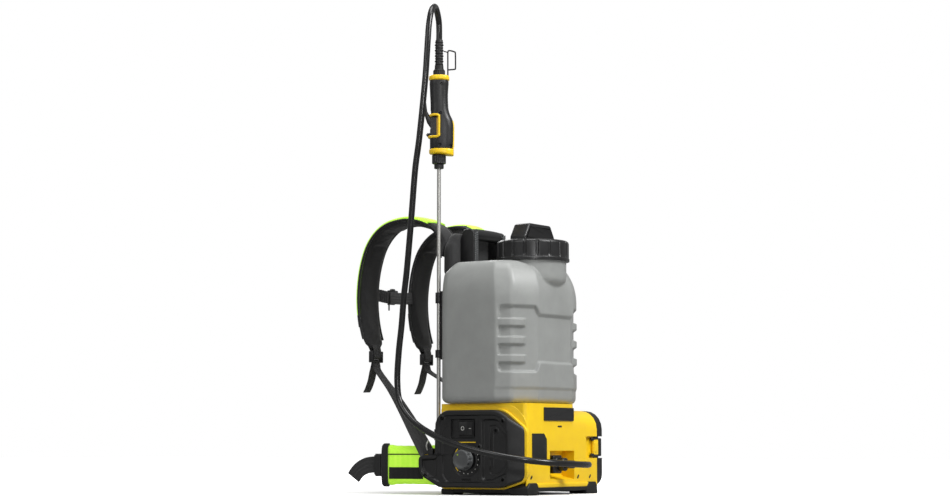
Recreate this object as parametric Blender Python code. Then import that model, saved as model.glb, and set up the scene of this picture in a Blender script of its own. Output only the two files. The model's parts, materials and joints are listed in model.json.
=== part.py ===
"""Battery backpack sprayer: a tank on a pump base, with a harness, a hose and a spray wand.

Metres, +Z up.  The shapes are drawn about the tank's vertical axis: -X is the control panel's
side, +X the battery door's side, -Y the hose outlet's side and +Y the wearer's side.  One empty
then moves everything so that the origin is the middle of the footprint, on the floor.
"""
import math

import bmesh
import bpy
from mathutils import Matrix, Vector

# Clearances
GAP = 0.0003
PIN_CLEARANCE = 0.0001

# Base housing
BASE_NEAR_X = -0.118
BASE_FAR_X = 0.147
BASE_FRONT_Y = -0.103
BASE_BACK_Y = 0.105
PLATE_BOTTOM_Z = 0.008
PLATE_THICKNESS = 0.006
BASE_HEIGHT = 0.154
DECK_RISE = 0.012
DECK_FAR_X = 0.060
BASE_WALL = 0.003
FOOT_WIDTH = 0.036
FOOT_LIP = 0.010

# Hose recess in the front face, and its fitting
RECESS_LOW_X = -0.034
RECESS_HIGH_X = 0.058
RECESS_LOW_Z = 0.031
RECESS_HIGH_Z = 0.087
RECESS_DEPTH = 0.030
FITTING_X = -0.004
FITTING_Z = 0.060
FITTING_RADIUS = 0.015

# Control panel
PANEL_DEPTH = 0.023
PANEL_WALL = 0.004
LOBE_REACH = 0.038
LOBE_TOP_Z = 0.078
ROCKER_Y = 0.030
ROCKER_Z = 0.131
ROCKER_WIDTH = 0.033
ROCKER_HEIGHT = 0.030
DIAL_Y = 0.029
DIAL_Z = 0.0695
DIAL_RADIUS = 0.021
SHAFT_RADIUS = 0.004

# Battery door and latch
DOOR_DEPTH = 0.020
DOOR_WALL = 0.003
HINGE_OFFSET = 0.0065
KNUCKLE_RADIUS = 0.005
HINGE_PIN_RADIUS = 0.0018
NOTCH_LOW_Z = 0.072
NOTCH_HIGH_Z = 0.116
NOTCH_LENGTH = 0.043
NOTCH_DEPTH = 0.009
LATCH_THICKNESS = 0.006

# Tank, neck and cap
TANK_HALF_X = 0.136
TANK_FRONT_Y = -0.099
TANK_BACK_Y = 0.099
TANK_HEIGHT = 0.285
TANK_WALL = 0.004
TANK_STEP = 0.005
NECK_Y = -0.042
NECK_RADIUS = 0.068
NECK_RISE = 0.034
CAP_RADIUS = NECK_RADIUS + 0.0055
CAP_SKIRT = 0.042
CAP_WALL = 0.004
CAP_BAR_LENGTH = 0.113
CAP_BAR_WIDTH = 0.037
CAP_BAR_HEIGHT = 0.034
SEAL_THICKNESS = 0.003
STRAINER_DEPTH = 0.060
STRAINER_WALL = 0.002

# Carry handle, back frame and harness
HANDLE_HALF_X = 0.058
HANDLE_LEG = 0.016
HANDLE_LOW_Y = 0.062
HANDLE_DEPTH = 0.024
HANDLE_RISE = 0.073
HANDLE_BAR = 0.022
FRAME_HALF_X = 0.090
FRAME_THICKNESS = 0.012
PAD_HALF_X = 0.075
PAD_THICKNESS = 0.020
STRAP_X = 0.090
STRAP_WIDTH = 0.070
STRAP_ROOT_LOW_X = 0.034
STRAP_ROOT_HIGH_X = 0.098
STRAP_THICKNESS = 0.016
WEBBING_WIDTH = 0.025
WEBBING_THICKNESS = 0.002
CHEST_DROP = 0.055
BELT_THICKNESS = 0.018
BELT_LOW_Z = 0.012
BELT_HIGH_Z = 0.104
BELT_REACH = 0.135

# Wand
WAND_X = -0.108
WAND_Y = 0.115
WAND_TURN = 123.0
LANCE_RADIUS = 0.004
LANCE_LENGTH = 0.548
NOZZLE_RADIUS = 0.0065
NOZZLE_LOW_Z = 0.112
NOZZLE_HEIGHT = 0.034
CRADLE_WALL = 0.002
CRADLE_HEIGHT = 0.022
VALVE_RADIUS = 0.009
NUT_RADIUS = 0.0142
HOSE_RADIUS = 0.00625

# Centreline of the free hose, chosen by hand: down from the wand's top to the base outlet
HOSE_ROUTE = [
    (-0.108, 0.115, 0.9245), (-0.108, 0.115, 0.945), (-0.110, 0.1145, 0.962), (-0.120, 0.111, 0.977),
    (-0.137, 0.104, 0.986), (-0.155, 0.098, 0.982), (-0.169, 0.0935, 0.966), (-0.178, 0.0915, 0.938),
    (-0.184, 0.091, 0.887), (-0.187, 0.094, 0.824), (-0.189, 0.106, 0.713), (-0.190, 0.1155, 0.648),
    (-0.190, 0.125, 0.547), (-0.190, 0.135, 0.450), (-0.190, 0.1425, 0.394), (-0.191, 0.147, 0.338),
    (-0.192, 0.1535, 0.280), (-0.194, 0.155, 0.222), (-0.196, 0.145, 0.180), (-0.203, 0.105, 0.142),
    (-0.211, 0.040, 0.112), (-0.213, -0.030, 0.092), (-0.205, -0.090, 0.079), (-0.183, -0.138, 0.070),
    (-0.148, -0.171, 0.065), (-0.098, -0.187, 0.062), (-0.040, -0.188, 0.060), (-0.004, -0.173, 0.060),
    (0.010, -0.141, 0.060), (0.003, -0.117, 0.060),
]
HOSE_POINTS = 66

# Values worked out from the sizes above
BASE_LOW_Z = PLATE_BOTTOM_Z + PLATE_THICKNESS + GAP
BARREL_TOP_Z = BASE_LOW_Z + BASE_HEIGHT
DECK_TOP_Z = BARREL_TOP_Z + DECK_RISE
PANEL_X = BASE_NEAR_X - PANEL_DEPTH
DOOR_X = BASE_FAR_X + GAP
DOOR_FAR_X = DOOR_X + DOOR_DEPTH
LOBE_Y = BASE_BACK_Y + LOBE_REACH
RECESS_Y = BASE_FRONT_Y + RECESS_DEPTH
TANK_LOW_Z = DECK_TOP_Z + GAP
TANK_TOP_Z = TANK_LOW_Z + TANK_HEIGHT
NECK_TOP_Z = TANK_TOP_Z + NECK_RISE
SEAL_LOW_Z = NECK_TOP_Z + GAP + STRAINER_WALL + GAP
CAP_CEILING_Z = SEAL_LOW_Z + SEAL_THICKNESS + GAP
CAP_TOP_Z = CAP_CEILING_Z + CAP_WALL
CAP_LOW_Z = CAP_TOP_Z - CAP_SKIRT
HANDLE_LOW_Z = TANK_TOP_Z + GAP
HANDLE_TOP_Z = HANDLE_LOW_Z + HANDLE_RISE
FRAME_LOW_Y = TANK_BACK_Y + GAP
FRAME_HIGH_Y = FRAME_LOW_Y + FRAME_THICKNESS
FRAME_LOW_Z = TANK_LOW_Z + 0.012
PAD_LOW_Y = FRAME_HIGH_Y + GAP
STRAP_ROOT_Y = FRAME_HIGH_Y + GAP
LANCE_LOW_Z = NOZZLE_LOW_Z + NOZZLE_HEIGHT + GAP
NUT_LOW_Z = LANCE_LOW_Z + LANCE_LENGTH - 0.036
GRIP_LOW_Z = NUT_LOW_Z + 0.0405
GRIP_TOP_Z = GRIP_LOW_Z + 0.141
WAND_TOP_Z = GRIP_TOP_Z + 0.085

# The strap's centreline, as (distance behind the back frame, height above the tank's top)
STRAP_LINE = [
    (0.0085, 0.012), (0.0085, 0.040), (0.018, 0.066), (0.040, 0.083), (0.070, 0.090), (0.100, 0.089),
    (0.128, 0.082), (0.152, 0.067), (0.172, 0.043), (0.185, 0.012), (0.193, -0.024), (0.196, -0.064),
    (0.193, -0.104), (0.185, -0.140), (0.173, -0.170),
]
ORIGIN_X = (PANEL_X + DOOR_FAR_X - 0.009) / 2
ORIGIN_Y = (NECK_Y - CAP_RADIUS + STRAP_ROOT_Y + STRAP_LINE[11][0] + STRAP_THICKNESS / 2) / 2


def clear_scene():
    for item in list(bpy.data.objects):
        bpy.data.objects.remove(item, do_unlink=True)


def principled(name, colour, roughness, metallic=0.0):
    """A plain Principled material."""
    made = bpy.data.materials.new(name)
    made.use_nodes = True
    shader = made.node_tree.nodes["Principled BSDF"]
    shader.inputs["Base Color"].default_value = (*colour, 1.0)
    shader.inputs["Roughness"].default_value = roughness
    shader.inputs["Metallic"].default_value = metallic
    return made


def empty(name, location, turn=0.0, parent=None):
    made = bpy.data.objects.new(name, None)
    made.location = location
    made.rotation_euler = (0.0, 0.0, math.radians(turn))
    made.parent = parent
    bpy.context.scene.collection.objects.link(made)
    return made


def solid(name, mesh_builder, material, parent, origin=(0.0, 0.0, 0.0), smooth=40.0):
    """Turn a bmesh into a named object whose own origin lies at the given point."""
    bmesh.ops.recalc_face_normals(mesh_builder, faces=mesh_builder.faces)
    mesh = bpy.data.meshes.new(name)
    mesh_builder.to_mesh(mesh)
    mesh_builder.free()
    mesh.transform(Matrix.Translation(-Vector(origin)))
    if material is not None:
        mesh.materials.append(material)
    if smooth:
        mesh.shade_smooth()
        mesh.set_sharp_from_angle(angle=math.radians(smooth))
    made = bpy.data.objects.new(name, mesh)
    made.location = origin
    made.parent = parent
    bpy.context.scene.collection.objects.link(made)
    return made


def cutter(name, mesh_builder, parent):
    made = solid(name, mesh_builder, None, parent, smooth=0.0)
    made.hide_render = True
    made.display_type = "WIRE"
    return made


def combine(target, other, operation):
    """Cut, join or keep the common part of two solids with an exact Boolean."""
    change = target.modifiers.new(operation.lower() + "_" + other.name, "BOOLEAN")
    change.operation = operation
    change.solver = "EXACT"
    change.object = other


def bevel(target, width, segments=2):
    change = target.modifiers.new("rounded_edges", "BEVEL")
    change.width = width
    change.segments = segments
    change.limit_method = "ANGLE"
    change.angle_limit = math.radians(40.0)


def filleted(corners, steps=4):
    """A closed outline from (a, b, radius) corners, each rounded by an arc of its radius."""
    outline = []
    for index, (a, b, radius) in enumerate(corners):
        here = Vector((a, b))
        before = Vector(corners[index - 1][:2]) - here
        after = Vector(corners[(index + 1) % len(corners)][:2]) - here
        half = before.angle(after) / 2
        reach = min(radius / math.tan(half), 0.49 * before.length, 0.49 * after.length)
        if reach < 1e-6:
            outline.append((a, b))
            continue
        radius = reach * math.tan(half)
        middle = here + (before.normalized() + after.normalized()).normalized() * radius / math.sin(half)
        start = here + before.normalized() * reach - middle
        end = here + after.normalized() * reach - middle
        first = math.atan2(start.y, start.x)
        sweep = (math.atan2(end.y, end.x) - first + math.pi) % (2 * math.pi) - math.pi
        for step in range(steps + 1):
            angle = first + sweep * step / steps
            outline.append((middle.x + radius * math.cos(angle), middle.y + radius * math.sin(angle)))
    return outline


def at(axis, along, a, b):
    """The point at a place along an axis, with a and b on the two other axes in order."""
    if axis == "X":
        return (along, a, b)
    if axis == "Y":
        return (a, along, b)
    return (a, b, along)


def loft(rings, closed=False):
    """Skin a list of rings with the same number of points, and cap both ends."""
    built = bmesh.new()
    rows = [[built.verts.new(point) for point in ring] for ring in rings]
    count = len(rows[0])
    pairs = list(zip(rows, rows[1:]))
    if closed:
        pairs.append((rows[-1], rows[0]))
    for low, high in pairs:
        for index in range(count):
            following = (index + 1) % count
            built.faces.new((low[index], low[following], high[following], high[index]))
    if not closed:
        built.faces.new(rows[0])
        built.faces.new(rows[-1])
    return built


def prism(outline, low, high, axis):
    """Extrude a closed outline along an axis."""
    return loft([[at(axis, place, a, b) for a, b in outline] for place in (low, high)])


def block(low, high, radius=0.0, steps=3):
    """A box, with its four vertical edges rounded if a radius is given."""
    corners = [(low[0], low[1]), (high[0], low[1]), (high[0], high[1]), (low[0], high[1])]
    return prism(filleted([(a, b, radius) for a, b in corners], steps), low[2], high[2], "Z")


def circle(radius, sides, middle=(0.0, 0.0)):
    turn = 2 * math.pi / sides
    return [
        (middle[0] + radius * math.cos(index * turn), middle[1] + radius * math.sin(index * turn))
        for index in range(sides)
    ]


def rod(radius, low, high, axis, middle, sides=20):
    return prism(circle(radius, sides, middle), low, high, axis)


def turned(profile, sides, middle=(0.0, 0.0), closed=False):
    """Turn (radius, height) points about a vertical axis; a closed profile makes a ring."""
    rings = [[(a, b, height) for a, b in circle(radius, sides, middle)] for radius, height in profile]
    return loft(rings, closed)


def ribbon(line, width, thickness):
    """A flat band along points; each point has its position and its width direction."""
    rings = []
    for index, (point, across) in enumerate(line):
        before = Vector(line[max(index - 1, 0)][0])
        after = Vector(line[min(index + 1, len(line) - 1)][0])
        along = (after - before).normalized()
        across = (Vector(across) - along * along.dot(Vector(across))).normalized()
        out = along.cross(across)
        half = across * width / 2
        lift = out * thickness / 2
        centre = Vector(point)
        rings.append([centre - half - lift, centre + half - lift, centre + half + lift, centre - half + lift])
    return loft(rings)


def offset_line(line, distance):
    """Points beside a line in its own plane, at a distance to its left."""
    moved = []
    for index, point in enumerate(line):
        before = Vector(line[max(index - 1, 0)])
        after = Vector(line[min(index + 1, len(line) - 1)])
        along = (after - before).normalized()
        moved.append((point[0] - along.y * distance, point[1] + along.x * distance))
    return moved


def smooth_route(points, count):
    """Evenly spaced points on the Catmull-Rom curve through the given points."""
    places = [Vector(point) for point in points]
    places = [2 * places[0] - places[1]] + places + [2 * places[-1] - places[-2]]
    fine = []
    for index in range(1, len(places) - 2):
        p0, p1, p2, p3 = places[index - 1:index + 3]
        for step in range(24):
            t = step / 24
            fine.append(0.5 * (2 * p1 + (p2 - p0) * t + (2 * p0 - 5 * p1 + 4 * p2 - p3) * t ** 2
                               + (3 * p1 - p0 - 3 * p2 + p3) * t ** 3))
    fine.append(places[-2])
    reached = [0.0]
    for first, second in zip(fine, fine[1:]):
        reached.append(reached[-1] + (second - first).length)
    even = []
    place = 0
    for index in range(count):
        target = reached[-1] * index / (count - 1)
        while place < len(fine) - 2 and reached[place + 1] < target:
            place += 1
        share = (target - reached[place]) / (reached[place + 1] - reached[place])
        even.append(fine[place].lerp(fine[place + 1], min(share, 1.0)))
    return even


def materials():
    return {
        "tank": principled("grey_polyethylene", (0.25, 0.26, 0.25), 0.42),
        "yellow": principled("yellow_nylon", (0.95, 0.48, 0.0), 0.45),
        "black": principled("black_nylon", (0.018, 0.018, 0.020), 0.50),
        "knob": principled("grey_nylon", (0.12, 0.12, 0.12), 0.50),
        "rubber": principled("black_rubber", (0.012, 0.012, 0.012), 0.80),
        "steel": principled("stainless_steel", (0.62, 0.62, 0.60), 0.30, 1.0),
        "brass": principled("brass", (0.75, 0.55, 0.22), 0.35, 1.0),
        "lime": principled("lime_fabric", (0.45, 0.95, 0.05), 0.80),
        "mesh": principled("black_mesh_fabric", (0.012, 0.012, 0.012), 0.90),
        "webbing": principled("black_webbing", (0.015, 0.015, 0.015), 0.80),
        "board": principled("green_fibreglass", (0.02, 0.16, 0.06), 0.50),
    }


def base_outline(inset, low_z, high_z):
    """The base's end outline in (Y, Z), moved inwards by the inset."""
    return filleted([
        (BASE_FRONT_Y + inset, low_z, 0.008), (BASE_BACK_Y - inset, low_z, 0.008),
        (BASE_BACK_Y - inset, high_z, 0.020 - inset), (BASE_FRONT_Y + inset, high_z, 0.038 - inset),
    ], 5)


def build_base(root, paint):
    housing = solid(
        "base_housing", prism(base_outline(0.0, BASE_LOW_Z, BARREL_TOP_Z), BASE_NEAR_X, BASE_FAR_X, "X"),
        paint["yellow"], root)
    deck = cutter("deck_block", block(
        (BASE_NEAR_X, BASE_FRONT_Y, BASE_LOW_Z + 0.050), (DECK_FAR_X, BASE_BACK_Y, DECK_TOP_Z), 0.010), root)
    combine(housing, deck, "UNION")
    inner = base_outline(BASE_WALL, BASE_LOW_Z - 0.010, BARREL_TOP_Z - BASE_WALL)
    cavity = cutter("base_cavity", prism(inner, BASE_NEAR_X - 0.010, BASE_FAR_X + 0.010, "X"), root)
    keep = cutter("recess_liner", block(
        (RECESS_LOW_X - BASE_WALL, BASE_FRONT_Y - 0.020, RECESS_LOW_Z - BASE_WALL),
        (RECESS_HIGH_X + BASE_WALL, RECESS_Y + BASE_WALL, RECESS_HIGH_Z + BASE_WALL)), root)
    combine(cavity, keep, "DIFFERENCE")
    notch_wall = cutter("notch_liner", block(
        (BASE_FAR_X - NOTCH_LENGTH - BASE_WALL, BASE_FRONT_Y - 0.020, NOTCH_LOW_Z - BASE_WALL),
        (BASE_FAR_X + 0.020, BASE_FRONT_Y + NOTCH_DEPTH + BASE_WALL, NOTCH_HIGH_Z + BASE_WALL)), root)
    combine(cavity, notch_wall, "DIFFERENCE")
    combine(housing, cavity, "DIFFERENCE")
    recess = cutter("hose_recess", prism(filleted([
        (BASE_FRONT_Y - 0.010, RECESS_LOW_Z - 0.004, 0.0), (BASE_FRONT_Y - 0.010, RECESS_HIGH_Z, 0.0),
        (RECESS_Y, RECESS_HIGH_Z, 0.006), (RECESS_Y, RECESS_LOW_Z + 0.006, 0.005),
    ], 3), RECESS_LOW_X, RECESS_HIGH_X, "X"), root)
    combine(housing, recess, "DIFFERENCE")
    notch = cutter("latch_notch", block(
        (BASE_FAR_X - NOTCH_LENGTH, BASE_FRONT_Y - 0.010, NOTCH_LOW_Z),
        (BASE_FAR_X + 0.010, BASE_FRONT_Y + NOTCH_DEPTH, NOTCH_HIGH_Z)), root)
    combine(housing, notch, "DIFFERENCE")
    outlet = cutter("outlet_bore", rod(
        0.0062, RECESS_Y - 0.010, RECESS_Y + 0.010, "Y", (FITTING_X, FITTING_Z), 16), root)
    combine(housing, outlet, "DIFFERENCE")
    drain = cutter("suction_bore", rod(
        0.0092, BARREL_TOP_Z - 0.010, DECK_TOP_Z + 0.010, "Z", (0.0, 0.020), 16), root)
    combine(housing, drain, "DIFFERENCE")
    knuckles = door_knuckles(root)
    for knuckle in knuckles:
        combine(housing, knuckle, "UNION")
    combine(housing, cutter("hinge_bore", rod(
        HINGE_PIN_RADIUS + PIN_CLEARANCE, HINGE_LOW_Z - 0.010, HINGE_HIGH_Z + 0.010, "Z",
        (HINGE_X, HINGE_Y), 24), root), "DIFFERENCE")

    solid("bottom_plate", block(
        (BASE_NEAR_X + 0.004, BASE_FRONT_Y + 0.003, PLATE_BOTTOM_Z),
        (BASE_FAR_X - 0.003, BASE_BACK_Y - 0.003, PLATE_BOTTOM_Z + PLATE_THICKNESS), 0.012), paint["black"], root)
    for name, low_x, high_x in (
        ("foot_near", PANEL_X + 0.021, PANEL_X + 0.021 + FOOT_WIDTH),
        ("foot_far", BASE_FAR_X - FOOT_WIDTH - 0.004, BASE_FAR_X - 0.004),
    ):
        profile = [
            (BASE_FRONT_Y - 0.003, 0.0), (BASE_FRONT_Y + 0.038, 0.0), (BASE_FRONT_Y + 0.041, 0.003),
            (BASE_BACK_Y - 0.036, 0.003), (BASE_BACK_Y - 0.033, 0.0), (BASE_BACK_Y - 0.003, 0.0),
            (BASE_BACK_Y - 0.003, PLATE_BOTTOM_Z - GAP), (BASE_FRONT_Y - GAP, PLATE_BOTTOM_Z - GAP),
            (BASE_FRONT_Y - GAP, BASE_LOW_Z + FOOT_LIP), (BASE_FRONT_Y - 0.003, BASE_LOW_Z + FOOT_LIP - 0.002),
        ]
        solid(name, prism(profile, low_x, high_x, "X"), paint["rubber"], root)
    solid("badge_plate", prism(filleted([
        (-0.057, DECK_TOP_Z - 0.034, 0.002), (0.054, DECK_TOP_Z - 0.034, 0.002),
        (0.054, DECK_TOP_Z - 0.0075, 0.002), (-0.057, DECK_TOP_Z - 0.0075, 0.002),
    ], 2), BASE_FRONT_Y - GAP - 0.002, BASE_FRONT_Y - GAP, "Y"), paint["black"], root)


def door_knuckles(root):
    """Two knuckles on the base's back corner, each with a web to the back wall."""
    made = []
    for index, (low, high) in enumerate(KNUCKLE_SPANS):
        knuckle = cutter(f"base_knuckle_{index}", rod(
            KNUCKLE_RADIUS, low, high, "Z", (HINGE_X, HINGE_Y), 24), root)
        web = cutter(f"base_knuckle_web_{index}", block(
            (HINGE_X - 0.011, BASE_BACK_Y - 0.002, low), (HINGE_X - 0.0012, HINGE_Y + 0.003, high)), root)
        combine(knuckle, web, "UNION")
        made.append(knuckle)
    return made


def build_inside(root, paint):
    """Pump, motor, board, battery and pipes in the base."""
    floor_z = BASE_LOW_Z
    solid("pump_head", block((-0.030, -0.020, floor_z), (0.024, 0.060, 0.104), 0.004), paint["black"], root)
    solid("pump_motor", rod(0.027, -0.100, -0.030 - GAP, "X", (0.020, 0.062), 24), paint["steel"], root)
    solid("suction_tube", turned([
        (0.0085, 0.104 + GAP), (0.0085, TANK_LOW_Z + 0.012), (0.0055, TANK_LOW_Z + 0.012), (0.0055, 0.104 + GAP),
    ], 16, (0.0, 0.020), True), paint["black"], root)
    solid("delivery_tube", rod(
        0.0055, RECESS_Y + 0.0005, -0.020 - GAP, "Y", (FITTING_X, FITTING_Z), 16), paint["rubber"], root)
    solid("circuit_board", block((-0.1120, -0.060, 0.034), (-0.1104, 0.070, 0.100)), paint["board"], root)
    solid("battery_pack", block((0.040, -0.046, floor_z), (0.140, 0.046, 0.104), 0.008), paint["black"], root)
    solid("battery_terminal", block((0.030, -0.034, floor_z), (0.040 - GAP, 0.034, 0.070), 0.002),
          paint["black"], root)


def build_panel(root, paint):
    """The control cover: a shell with a switch well, a dial hole and a lobe for the hip belt."""
    low = BASE_LOW_Z
    outline = filleted([
        (BASE_FRONT_Y, low + 0.016, 0.020), (BASE_FRONT_Y + 0.052, low, 0.020), (BASE_BACK_Y - 0.012, low, 0.020),
        (LOBE_Y, low + 0.026, 0.030), (LOBE_Y, LOBE_TOP_Z, 0.010), (BASE_BACK_Y - 0.004, LOBE_TOP_Z + 0.002, 0.004),
        (BASE_BACK_Y - 0.004, BARREL_TOP_Z - 0.001, 0.033), (BASE_FRONT_Y + 0.052, BARREL_TOP_Z - 0.001, 0.050),
        (BASE_FRONT_Y, BARREL_TOP_Z - 0.040, 0.020),
    ], 4)
    back = BASE_NEAR_X - GAP
    panel = solid("control_panel", prism(outline, PANEL_X, back, "X"), paint["black"], root)
    chamfer = cutter("panel_chamfer", prism([
        (PANEL_X - 0.010, BASE_FRONT_Y - 0.020), (PANEL_X - 0.010, BASE_FRONT_Y + 0.033),
        (back - 0.003, BASE_FRONT_Y), (back - 0.003, BASE_FRONT_Y - 0.020),
    ], 0.0, BARREL_TOP_Z + 0.020, "Z"), root)
    combine(panel, chamfer, "DIFFERENCE")
    hollow = cutter("panel_hollow", block(
        (PANEL_X + PANEL_WALL, BASE_FRONT_Y + 0.038, low + 0.012),
        (back + 0.010, BASE_BACK_Y - 0.014, BARREL_TOP_Z - 0.012)), root)
    well = cutter("switch_well_wall", block(
        (PANEL_X - 0.010, ROCKER_Y - 0.036, ROCKER_Z - 0.0245),
        (back + 0.020, ROCKER_Y + 0.040, ROCKER_Z + 0.0245)), root)
    combine(hollow, well, "DIFFERENCE")
    combine(panel, hollow, "DIFFERENCE")
    recess = cutter("switch_recess", block(
        (PANEL_X - 0.010, ROCKER_Y - 0.022, ROCKER_Z - 0.0210),
        (PANEL_X + 0.010, ROCKER_Y + 0.036, ROCKER_Z + 0.0190)), root)
    combine(panel, recess, "DIFFERENCE")
    mouth = cutter("switch_mouth", block(
        (PANEL_X, ROCKER_Y - ROCKER_WIDTH / 2 - 0.002, ROCKER_Z - ROCKER_HEIGHT / 2 - 0.002),
        (back + 0.010, ROCKER_Y + ROCKER_WIDTH / 2 + 0.002, ROCKER_Z + ROCKER_HEIGHT / 2 + 0.002)), root)
    combine(panel, mouth, "DIFFERENCE")
    shaft_hole = cutter("dial_hole", rod(
        SHAFT_RADIUS + GAP, PANEL_X - 0.010, back + 0.010, "X", (DIAL_Y, DIAL_Z), 20), root)
    combine(panel, shaft_hole, "DIFFERENCE")
    pocket = cutter("grip_pocket", prism(filleted([
        (-0.072, 0.040, 0.012), (-0.020, 0.034, 0.010), (-0.008, 0.060, 0.010), (-0.008, 0.140, 0.008),
        (-0.050, 0.140, 0.020), (-0.072, 0.118, 0.010),
    ], 3), PANEL_X - 0.010, PANEL_X + PANEL_WALL / 2, "X"), root)
    combine(panel, pocket, "DIFFERENCE")

    bezel_x = PANEL_X + 0.009
    bezel = solid("switch_bezel", block(
        (bezel_x, ROCKER_Y - ROCKER_WIDTH / 2 - 0.0017, ROCKER_Z - ROCKER_HEIGHT / 2 - 0.0017),
        (back - 0.002, ROCKER_Y + ROCKER_WIDTH / 2 + 0.0017, ROCKER_Z + ROCKER_HEIGHT / 2 + 0.0017)),
        paint["black"], root)
    combine(bezel, cutter("rocker_space", block(
        (bezel_x - 0.010, ROCKER_Y - ROCKER_WIDTH / 2, ROCKER_Z - ROCKER_HEIGHT / 2),
        (bezel_x + 0.006, ROCKER_Y + ROCKER_WIDTH / 2, ROCKER_Z + ROCKER_HEIGHT / 2)), root), "DIFFERENCE")
    half = ROCKER_WIDTH / 2 - 0.0015
    top = ROCKER_HEIGHT / 2 - 0.0008
    rocker = prism([
        (bezel_x - 0.0015, ROCKER_Y - half), (bezel_x + 0.0012, ROCKER_Y), (bezel_x - 0.0045, ROCKER_Y + half),
        (bezel_x + 0.0015, ROCKER_Y + half - 0.001), (bezel_x + 0.0055, ROCKER_Y),
        (bezel_x + 0.0025, ROCKER_Y - half + 0.001),
    ], ROCKER_Z - top, ROCKER_Z + top, "Z")
    solid("switch_rocker", rocker, paint["black"], root, (bezel_x + 0.0035, ROCKER_Y, ROCKER_Z))

    knob_profile = [(DIAL_RADIUS, 0.0), (DIAL_RADIUS - 0.0015, 0.013), (DIAL_RADIUS - 0.004, 0.0145),
                    (SHAFT_RADIUS, 0.0145)]
    face = PANEL_X - GAP
    rings = [[(face - height, DIAL_Y + a, DIAL_Z + b) for a, b in circle(radius, 28)]
             for radius, height in knob_profile]
    shaft = [[(place, DIAL_Y + a, DIAL_Z + b) for a, b in circle(SHAFT_RADIUS, 28)]
             for place in (SENSOR_X - GAP, face)]
    knob = loft(shaft + rings)
    solid("dial_knob", knob, paint["knob"], root, (face, DIAL_Y, DIAL_Z))
    solid("dial_sensor", block(
        (SENSOR_X, DIAL_Y - 0.008, DIAL_Z - 0.008), (-0.1120 - GAP, DIAL_Y + 0.008, DIAL_Z + 0.008)),
        paint["knob"], root)


def build_door(root, paint):
    outline = filleted([
        (BASE_FRONT_Y, BASE_LOW_Z + 0.001, 0.022), (BASE_BACK_Y - 0.0002, BASE_LOW_Z + 0.001, 0.016),
        (BASE_BACK_Y - 0.0002, BARREL_TOP_Z, 0.020), (BASE_FRONT_Y, BARREL_TOP_Z, 0.038),
    ], 5)
    origin = (HINGE_X, HINGE_Y, HINGE_LOW_Z)
    door = solid("battery_door", prism(outline, DOOR_X, DOOR_FAR_X, "X"), paint["black"], root, origin)
    inner = filleted([
        (BASE_FRONT_Y + NOTCH_DEPTH + DOOR_WALL, BASE_LOW_Z + 0.001 + DOOR_WALL, 0.016),
        (BASE_BACK_Y - 0.0002 - DOOR_WALL, BASE_LOW_Z + 0.001 + DOOR_WALL, 0.012),
        (BASE_BACK_Y - 0.0002 - DOOR_WALL, BARREL_TOP_Z - DOOR_WALL, 0.017),
        (BASE_FRONT_Y + NOTCH_DEPTH + DOOR_WALL, BARREL_TOP_Z - DOOR_WALL, 0.030),
    ], 5)
    combine(door, cutter("door_hollow", prism(inner, DOOR_X - 0.010, DOOR_FAR_X - DOOR_WALL, "X"), root),
            "DIFFERENCE")
    combine(door, cutter("door_notch", block(
        (DOOR_X - 0.010, BASE_FRONT_Y - 0.010, NOTCH_LOW_Z),
        (DOOR_FAR_X + 0.010, BASE_FRONT_Y + NOTCH_DEPTH, NOTCH_HIGH_Z)), root), "DIFFERENCE")
    knuckle = cutter("door_knuckle", rod(
        KNUCKLE_RADIUS, KNUCKLE_SPANS[0][1] + GAP, KNUCKLE_SPANS[1][0] - GAP, "Z", (HINGE_X, HINGE_Y), 24), root)
    combine(knuckle, cutter("door_knuckle_web", block(
        (DOOR_X, BASE_BACK_Y - 0.003, KNUCKLE_SPANS[0][1] + GAP),
        (HINGE_X + 0.007, HINGE_Y + 0.003, KNUCKLE_SPANS[1][0] - GAP)), root), "UNION")
    combine(door, knuckle, "UNION")
    combine(door, cutter("door_bore", rod(
        HINGE_PIN_RADIUS + PIN_CLEARANCE, HINGE_LOW_Z - 0.010, HINGE_HIGH_Z + 0.010, "Z",
        (HINGE_X, HINGE_Y), 24), root), "DIFFERENCE")
    solid("door_hinge_pin", rod(
        HINGE_PIN_RADIUS, HINGE_LOW_Z - 0.001, HINGE_HIGH_Z + 0.001, "Z", (HINGE_X, HINGE_Y), 24),
        paint["steel"], root, origin)

    # The latch sits in the notch: a yellow finger over the base and a black hook around the door.
    seat = BASE_FRONT_Y + NOTCH_DEPTH - GAP
    latch_x = DOOR_X + DOOR_DEPTH / 2
    pivot = (latch_x + 0.0085, seat - LATCH_THICKNESS / 2, (NOTCH_LOW_Z + NOTCH_HIGH_Z) / 2)
    solid("latch_lever", prism(filleted([
        (latch_x - 0.046, seat - LATCH_THICKNESS, 0.002), (latch_x - 0.002, seat - LATCH_THICKNESS, 0.0),
        (latch_x - 0.002, seat - 0.001, 0.0), (latch_x - 0.046, seat - 0.001, 0.002),
    ], 2), NOTCH_LOW_Z + 0.005, NOTCH_HIGH_Z - 0.005, "Z"), paint["yellow"], root, pivot)
    hook = solid("latch_hook", prism(filleted([
        (latch_x - 0.002 + GAP, seat - LATCH_THICKNESS, 0.0), (latch_x + 0.009, seat - LATCH_THICKNESS, 0.003),
        (latch_x + 0.009, seat, 0.002), (latch_x - 0.002 + GAP, seat, 0.0),
    ], 2), NOTCH_LOW_Z + 0.003, NOTCH_HIGH_Z - 0.003, "Z"), paint["black"], root, pivot)
    combine(hook, cutter("hook_window", block(
        (latch_x + 0.001, seat - 0.020, pivot[2] - 0.010), (latch_x + 0.0055, seat + 0.020, pivot[2] + 0.010)),
        root), "DIFFERENCE")


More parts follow.
